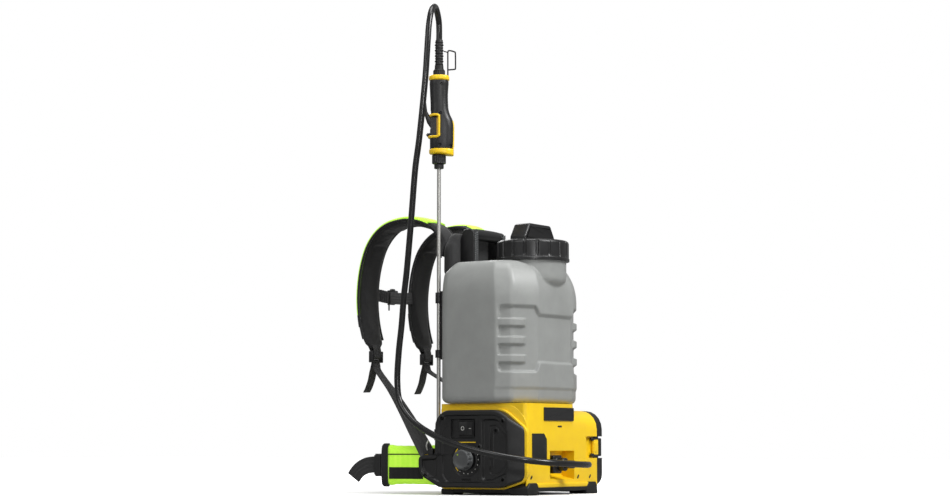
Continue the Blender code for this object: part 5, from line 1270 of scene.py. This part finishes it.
def rowEdges(outline, levels):  # the outline's first and last place at each level
    starts, ends = outline, np.roll(outline, -1, axis=0)
    lows, highs = [], []
    for level in levels:
        a, b = starts[:, 1], ends[:, 1]
        hit = ((a <= level) & (b > level)) | ((b <= level) & (a > level))
        share = (level - a[hit]) / (b[hit] - a[hit])
        places = starts[hit, 0] + share * (ends[hit, 0] - starts[hit, 0])
        lows.append(places.min())
        highs.append(places.max())
    return np.array(lows), np.array(highs)


panelOutline = outlineOf([
    (-103, 30.5, 20), (-51, 14.4, 20), (93, 14.4, 20), (142.6, 40.5, 30), (142.6, 77.8, 10), (103, 79.5, 6),
    (101, 167.2, 33), (-51, 167.2, 50), (-103, 128.4, 20)], 8)
wellOutline = outlineOf([(8, 110, 3), (66, 110, 3), (66, 150, 3), (8, 150, 3)], 4)
leftFrame = outlineOf([(-3, 24, 6), (76, 24, 14), (86, 40, 8), (86, 120, 10), (74, 158, 10), (-3, 158, 6)],
                      6)
pocketOutline = outlineOf([(-72, 44, 14), (-34, 28, 12), (-9, 28, 8), (-9, 150, 8), (-46, 150, 20),
                           (-72, 126, 12)], 6)
innerOutline = outlineOf([(-62, 58, 10), (-44, 42, 8), (-24, 42, 5), (-24, 138, 5), (-42, 138, 12),
                          (-62, 116, 10)], 6)
lobeOutline = outlineOf([(98, 30, 8), (124, 34, 12), (135, 46, 10), (135, 72, 6), (98, 72, 6)], 6)
panelScrews = ((-60, 145), (-60, 30), (84, 151), (125, 38), (-3, 94), (-38, 126))


def panelDepth(y, z):
    # how far the moulding steps back from its face: sum of smooth steps, one for each feature
    depth = 20.0 * np.clip((-70 - y) / 33, 0, 1) ** 1.15  # the slanting outer border
    rimIn = signedInside(panelOutline, y, z)
    depth = depth + 3.0 * smoothStep(rimIn, 9, 11.5) * smoothStep(y, -70, -62)
    depth = depth + 2.8 * smoothStep(signedInside(leftFrame, y, z), 0, 2.4)
    pocket = signedInside(pocketOutline, y, z)
    depth = depth + (8.5 - 0.06 * (y + 72)) * smoothStep(pocket, 0, 4.5)
    depth = depth + 2.6 * smoothStep(signedInside(innerOutline, y, z), 0, 2.0)
    depth = depth - 1.2 * np.exp(-((y + 31) / 1.2) ** 2) * smoothStep(z, 50,
                                                                      60) * (1 - smoothStep(z, 120, 130))
    depth = depth + 2.6 * smoothStep(signedInside(lobeOutline, y, z), 0, 3)
    dial = np.hypot(y - panelFacts["dialY"], z - panelFacts["dialZ"])
    depth = depth + 1.6 * smoothStep(34.5 - dial, 0, 1.5) - 1.2 * smoothStep(24.5 - dial, 0, 1.0)
    well = smoothStep(signedInside(wellOutline, y, z), 0, 1.4)
    depth = depth * (1 - well) + 10.4 * well
    for screwY, screwZ in panelScrews:
        reach = np.hypot(y - screwY, z - screwZ)
        depth = depth - 1.0 * smoothStep(6.6 - reach, 0, 1.2) + 5.0 * smoothStep(3.6 - reach, 0, 0.9)
    for slotY in (20.0, 24.5, 29.0, 33.5, 38.0):  # drain slots under the dial
        depth = depth + 2.0 * smoothStep(1.3 - np.abs(y - slotY), 0,
                                         0.6) * smoothStep(2.6 - np.abs(z - 29.5), 0, 0.8)
    rim = panelFacts["rim"]
    over = np.clip(1 - rimIn / rim, 0, 1)
    return depth + rim * (1 - np.sqrt(np.clip(1 - over ** 2, 0, 1)))


def panelSurface(rows=300, columns=300):
    lowZ, highZ = panelOutline[:, 1].min(), panelOutline[:, 1].max()
    middle, half = (lowZ + highZ) / 2, (highZ - lowZ) / 2
    s = np.linspace(-1, 1, rows)
    levels = middle + half * 0.99995 * (0.75 * s + 0.25 * np.sin(s * math.pi / 2))
    lows, highs = rowEdges(panelOutline, levels)
    share = np.linspace(0, 1, columns)[None, :]
    share = 0.85 * share + 0.15 * (0.5 - 0.5 * np.cos(share * math.pi))
    y = lows[:, None] + (highs - lows)[:, None] * share
    z = np.broadcast_to(levels[:, None], y.shape)
    x = np.minimum(panelFacts["face"] + panelDepth(y, z), panelFacts["back"] - 0.6)
    return np.stack([x, y, z], -1)


def plateFromField(name, surface, back, material, body, replaces, sharp=45.0):
    # the field's border is carried straight back and closed with one face
    rows, columns = surface.shape[:2]
    index = np.arange(rows * columns).reshape(rows, columns)
    quads = np.stack([index[:-1, :-1], index[:-1, 1:], index[1:, 1:], index[1:, :-1]], -1).reshape(-1, 4)
    border = np.concatenate([index[0, :-1], index[:-1, -1], index[-1, :0:-1], index[:0:-1, 0]])
    points = surface.reshape(-1, 3)
    behind = points[border].copy()
    behind[:, 0] = back
    first = rows * columns
    skirt = first + np.arange(len(border))
    sides = np.stack([border, np.roll(border, -1), np.roll(skirt, -1), skirt], -1)
    mesh = bpy.data.meshes.new(name)
    mesh.from_pydata(place(np.vstack([points, behind])).tolist(), [],
                     quads.tolist() + sides.tolist() + [skirt.tolist()])
    return finishMesh(name, mesh, material, body, replaces, sharp)


panelNodes = ["control_panel", "switch_bezel"]
plateFromField("controlPanelCover", panelSurface(), panelFacts["back"], paint["black"], "root", panelNodes)

# the housing's seat for the panel: an end wall with a narrow rim standing proud all round
seat = insetOutline(panelOutline, -3.4)
endWall = outlineOf([(-100, 24, 8), (100, 24, 8), (101, 176, 8), (-74, 176, 34), (-100, 150, 22)], 8)
meshFrom("panelSeatRim",
         [plateGrid(seat, -122.4, -113.0, "X", 1.4, 3), plateGrid(endWall, -118.6, -112.0, "X", 0.8, 3)],
         paint["yellow"], "root", sharp=45)

# switch: its surround, the rocker and two generic marks on it
dy, dz = panelFacts["rockerY"], panelFacts["rockerZ"]
surround = outlineOf([(dy - 19, dz - 17, 2), (dy + 19, dz - 17, 2), (dy + 19, dz + 17, 2),
                      (dy - 19, dz + 17, 2)], 4)
rows = []
for inwards, x in ((0, -130.4), (0, -133.0), (0.5, -133.6), (2.0, -133.6), (2.4, -133.2), (2.4, -126.0)):
    rows.append(onAxis("X", insetOutline(surround, inwards), x))
meshFrom("switchSurround", [(np.array(rows), True)], paint["satin"], "root", sharp=40)
rockerLine = smoothLine([(-133.6, dy - 15.2), (-131.2, dy), (-136.6, dy + 15.2)], 24)
rockerRows = []
for x, y in rockerLine:
    edge = min(1.0, (15.6 - abs(y - dy)) / 1.6)
    tall = 13.6 - 0.8 * (1 - edge)
    section = outlineOf([(x + 0.5 * (1 - edge), dz - tall, 1.0), (x + 6, dz - tall, 0.2),
                         (x + 6, dz + tall, 0.2),
                         (x + 0.5 * (1 - edge), dz + tall, 1.0)], 4)
    rockerRows.append(onAxis("Y", section, y))
meshFrom("switchRockerCap", [(np.array(rockerRows), True)], paint["satin"], "rocker", ["switch_rocker"],
         sharp=35)


def onRocker(y):
    return np.interp(y, rockerLine[:, 1], rockerLine[:, 0])


turn = np.linspace(0, 2 * math.pi, 33)
ringPath = np.column_stack([onRocker(dy + 8.4 + 2.6 * np.cos(turn)) - 0.05, dy + 8.4 + 2.6 * np.cos(turn),
                            dz + 3.6 * np.sin(turn)])
barPath = np.column_stack([onRocker(np.linspace(dy - 11, dy - 5.5, 8)) - 0.05,
                           np.linspace(dy - 11, dy - 5.5, 8), np.full(8, dz)])
meshFrom("rockerMarks", [tubeGrid(ringPath, 0.55, 10, (1, 0, 0)), tubeGrid(barPath, 0.6, 10, (0, 0, 1))],
         paint["mark"],
         "rocker", sharp=60)

# dial: a scalloped knob, its pointer dot, the scale's dots and the yellow arc
y0, z0 = panelFacts["dialY"], panelFacts["dialZ"]
knobProfile = [(17.0, 0.0), (21.2, 0.0), (21.4, 1.2), (20.4, 2.4), (20.0, 3.2)]
knobProfile += [(19.8 - 0.5 * t, 3.2 + 8.6 * t) for t in np.linspace(0.1, 1, 8)]
knobProfile += [(19.3 - 2.2 * (1 - math.cos(t)) , 11.8 + 2.2 * math.sin(t))
                for t in np.linspace(0.2, math.pi / 2, 6)]
knobProfile += [(15.0, 14.0), (13.6, 13.2), (8.0, 12.8), (0.05, 12.8)]


def scallops(angle, radius, height):
    fade = smoothStep(height, 2.6, 4.2) * (1 - smoothStep(height, 12.4, 14.0)) * (radius > 16)
    return radius - 1.5 * fade * np.clip(np.cos(angle * 12), -0.2, 1)


def facingPanel(grid, y, z, face):  # turned about X, rising towards the viewer of the panel
    return np.stack([face - grid[..., 2], y + grid[..., 0], z + grid[..., 1]], -1)


knob, _ = turnedGrid(knobProfile, 192, ripple=scallops)
meshFrom("speedDial", [(facingPanel(knob, y0, z0, -141.3), True)], paint["knob"], "dial", ["dial_knob"],
         sharp=50)
dot, _ = turnedGrid([(0.05, 0.0), (1.7, 0.0), (1.7, 0.5), (1.3, 0.8), (0.05, 0.8)], 24)
pointerAt = math.radians(52)
meshFrom("dialPointer",
         [(facingPanel(dot, y0 + 12.4 * math.cos(pointerAt), z0 + 12.4 * math.sin(pointerAt), -154.0),
           True)],
         paint["markLime"], "dial", sharp=50)
scale = []
for degrees in np.linspace(160, 325, 9):
    angle = math.radians(degrees)
    tick, _ = turnedGrid([(0.05, 0.0), (1.0, 0.0), (0.9, 0.35), (0.05, 0.4)], 14)
    ty, tz = y0 + 28.0 * math.cos(angle), z0 + 28.0 * math.sin(angle)
    scale.append((facingPanel(tick, ty, tz,
                              panelFacts["face"] + float(panelDepth(np.array([[ty]]), np.array([[tz]]))[0,
                                      0]) + 0.1), True))
meshFrom("dialScale", scale, paint["mark"], "root", sharp=50)
arc = np.radians(np.linspace(-48, 46, 60))
arcY, arcZ = y0 + 30.0 * np.cos(arc), z0 + 30.0 * np.sin(arc)
arcX = panelFacts["face"] + panelDepth(arcY[None], arcZ[None])[0]
arcPath = np.column_stack([arcX, arcY, arcZ])
radial = np.column_stack([np.zeros(60), np.cos(arc), np.sin(arc)])
lineY = np.linspace(6, 46, 30)
lineX = panelFacts["face"] + panelDepth(lineY[None], np.full((1, 30), 103.6))[0]
linePath = np.column_stack([lineX, lineY, np.full(30, 103.6)])
meshFrom("panelYellowLines",
         [bandGrid(arcPath, radial, 1.9, 0.9, 0, 12, 0.4),
          bandGrid(linePath, (0, 0, 1), 1.8, 0.9, 0, 12, 0.4)],
         paint["yellow"], "root", sharp=60)
clipGrids = [blockGrid((-138, 108, 77.0), (-124, 119, 92), 1.6, 3.0, "X"),
             blockGrid((-136, 116.5, 79.0), (-130, 121.5, 101), 1.2, 1.5)]
meshFrom("beltClip", clipGrids, paint["satin"], "root", sharp=45)
pinPath = smoothLine([(-137.5, 121.5, 88), (-138.5, 123.0, 98), (-136.0, 120.0, 108)], 20)
meshFrom("beltClipWire", [tubeGrid(pinPath, 1.6, 12)], paint["steel"], "root", sharp=60)
print("control panel moulded")

# base: mouldings laid over the housing's outer face, its black trim and feet
# printed label with one cut corner, left blank
label = outlineOf([(-100, 70, 1.5), (-46, 70, 1.5), (-46, 110, 2), (-56, 121, 2), (-100, 121, 1.5)], 4)
meshFrom("blankSideLabel", [plateGrid(label, -103.9, -102.6, "Y", 0.4, 2)], paint["rubber"], "root",
         sharp=45)
badge = outlineOf([(-57, 146.3, 2), (54, 146.3, 2), (54, 172.8, 2), (-57, 172.8, 2)], 4)
badgeRows = [onAxis("Y", insetOutline(badge, i), y) for i, y in (
    (0, -103.2), (0, -104.8), (0.6, -105.4), (1.6, -105.4), (2.2, -104.7))]
meshFrom("blankBadge", [(np.array(badgeRows), True)], paint["satin"], "root", ["badge_plate"],
         sharp=40)
slot = outlineOf([(-4.5, 133.6, 1.3), (10.5, 133.6, 1.3), (10.5, 137.0, 1.3), (-4.5, 137.0, 1.3)], 5)
meshFrom("statusLightLens", [plateGrid(slot, -103.7, -102.4, "Y", 0.4, 2)], paint["lens"], "root",
         sharp=45)
slots = [plateGrid(outlineOf([(x - 4, 33, 1.6), (x - 1, 30, 1.6), (x + 5, 37, 1.6), (x + 2, 40, 1.6)], 4),
                   -103.6, -102.4, "Y",
                   0.4, 2) for x in (-103, 72, 118)]
meshFrom("weepSlots", slots, paint["satin"], "root", sharp=45)
# the raised lip along the foot of the outer face, and the rubber strip below it
lip = outlineOf([(-112, 14.6, 3), (144, 14.6, 3), (144, 23.5, 3), (-112, 23.5, 3)], 5)
meshFrom("baseFootLip", [plateGrid(lip, -106.4, -102.0, "Y", 2.2, 4)], paint["yellow"], "root",
         sharp=45)
strip = outlineOf([(-114, 7.0, 2), (142, 7.0, 2), (142, 15.2, 2), (-114, 15.2, 2)], 5)
meshFrom("baseRubberStrip", [plateGrid(strip, -105.8, -99.0, "Y", 1.6, 4)], paint["rubber"], "root",
         sharp=45)
footGrids = []
for low, high in ((-121.0, -80.0), (100.0, 143.0)):
    outline = outlineOf([(low, 0.2, 2.5), (high, 0.2, 2.5), (high - 1.5, 16, 5), (high - 6, 24.3, 5),
                         (low + 8, 24.3, 8), (low, 15, 5)], 5)
    footGrids.append(plateGrid(outline, -107.4, -64.0, "Y", 2.5, 4))
footGrids += [blockGrid((-121, 70, 0.2), (-81, 102, 12), 2.2, 6.0),
              blockGrid((103, 70, 0.2), (143, 102, 12), 2.2, 6.0),
              blockGrid((-121, -66, 3.2), (-84, 72, 14.5), 2.0, 4.0),
              blockGrid((106, -66, 3.2), (143, 72, 14.5), 2.0, 4.0)]
meshFrom("rubberFeet", footGrids, paint["rubber"], "root", ["foot_near", "foot_far"], sharp=45)

# hose outlet: a round body against the recess wall, a square shoulder, a knurled nut and the hose's ferrule
bodyRings, _ = turnedGrid([(0.05, 0), (13.6, 0), (14.6, 1.0), (14.6, 30.5), (13.4, 32.0), (0.05, 32.0)], 72)
turned = np.stack([-4 + bodyRings[..., 0], -74 - bodyRings[..., 2], 60 + bodyRings[..., 1]], -1)
knurled, _ = turnedGrid([(0.05, 0), (12.2, 0), (13.2, 1.0), (13.2, 12.0), (12.2, 13.0), (0.05, 13.0)], 120,
                        ripple=knurl(14, 1.0, 2, 11))
ahead = hosePath[-14] - hosePath[-1]
ahead /= np.linalg.norm(ahead)
aside = np.cross(ahead, (0, 0, 1.0))
aside /= np.linalg.norm(aside)
upright = np.cross(aside, ahead)
onHose = lambda grid, start: (hosePath[-1] + ahead * (grid[..., 2:3] + start) + aside * grid[..., 0:1]
                              + upright * grid[..., 1:2])
ferrule, _ = turnedGrid([(6.4, 0), (7.6, 0.4), (8.0, 1.2), (8.0, 19.0), (7.2, 20.4), (6.3, 20.6)], 64)
shoulder = blockGrid((-22, -104, 42), (10, -90, 78), 2.0, 4.0, "Y")
meshFrom("hoseOutlet",
         [(turned, True), shoulder, (onHose(knurled, -13.0), True), (onHose(ferrule, -1.0), True)],
         paint["satin"],
         "root", ["outlet_elbow", "hose_nut"], sharp=42)

# battery door's latch: a yellow lever between two black knuckles, and the hook that it draws shut
low, high = nodeBox("latch_lever")
lever = [blockGrid((high[0] - 18, low[1] - 1.6, low[2] + 1), (high[0], high[1], high[2] - 1), 1.6, 3.0,
                   "Y"),
         blockGrid((high[0] - 16, low[1] - 2.8, low[2] + 7), (high[0] - 5, low[1] - 1.0, high[2] - 7), 0.9,
                   2.0, "Y")]
meshFrom("latchLever", lever, paint["yellow"], "latch", ["latch_lever"], sharp=42)
knuckles = [blockGrid((high[0] - 26, low[1] - 1.4, z), (high[0] + 1, high[1] - 0.4, z + 6.5), 1.2, 2.0, "Y")
            for z in (low[2] - 2.6, high[2] - 3.9)]
low, high = nodeBox("latch_hook")
hook = [blockGrid((low[0], low[1] - 1.8, low[2] + 0.5), (high[0] + 0.8, high[1], high[2] - 0.5), 1.4, 2.6,
                  "Y")]
meshFrom("latchHook", knuckles + hook, paint["satin"], "latch", ["latch_hook"], sharp=42)

# carry handle: deep legs down to the tank, a round grip between them, and a latticed front on each leg
low, high = nodeBox("carry_handle")
legOutline = outlineOf([(low[1], low[2], 2), (98.4, low[2], 2), (98.4, 512, 10), (90, high[2] - 1, 10),
                        (low[1], high[2] - 1, 12)], 6)
handleGrids = [plateGrid(legOutline, low[0], low[0] + 15, "X", 2.6, 5),
               plateGrid(legOutline, high[0] - 15, high[0], "X", 2.6, 5)]
gripLine = smoothLine([(low[0] + 8, 75, 526.0), (-30, 75, 527.0), (0, 75, 527.2), (30, 75, 527.0),
                       (high[0] - 8, 75, 526.0)], 60)
handleGrids.append(tubeGrid(gripLine, 12.2, 40, (0, 1, 0)))
meshFrom("carryHandle", handleGrids, paint["satin"], "root", ["carry_handle"], sharp=42)
lattice = []
for left in (low[0] + 2.2, high[0] - 12.8):
    for turn in (0, 1):
        steps = np.arange(15)
        zigzag = np.column_stack([left + 10.6 * ((steps + turn) % 2), np.full(15, low[1] - 0.5),
                                  low[2] + 4 + 4.4 * steps])
        lattice.append(tubeGrid(np.repeat(zigzag, 2, axis=0)
                                + np.tile([(0, 0, -0.3), (0, 0, 0.3)], (15, 1)), 1.3, 10, (0, 1, 0)))
meshFrom("handleLattice", lattice, paint["knob"], "root", sharp=60)
print("base trimmed")

# what is carried over from the CAD frame
finishOf = {
    "bottom_plate": "black", "base_housing": "yellow", "battery_door": "black", "back_frame": "black",
            "wand_clip": "satin",
    "wand_cradle": "satin", "door_hinge_pin": "steel", "pump_motor": "steel", "pump_head": "knob",
            "suction_tube": "knob",
    "delivery_tube": "knob", "circuit_board": "board", "battery_pack": "black", "battery_terminal": "brass",
    "dial_sensor": "satin", "cap_seal": "rubber", "strainer_basket": "knob", "wand_valve": "brass",
}
softWidth = {"base_housing": 2.0, "battery_door": 2.0, "back_frame": 2.0, "wand_clip": 0.6,
             "wand_cradle": 0.6}
for name in sorted(frame["nodes"]):
    node = frame["nodes"][name]
    if node.hide_render:
        continue
    if name in softWidth:
        softened(name, paint[finishOf[name]], softWidth[name])
    else:
        keepNode(name, paint[finishOf.get(name, "black")])
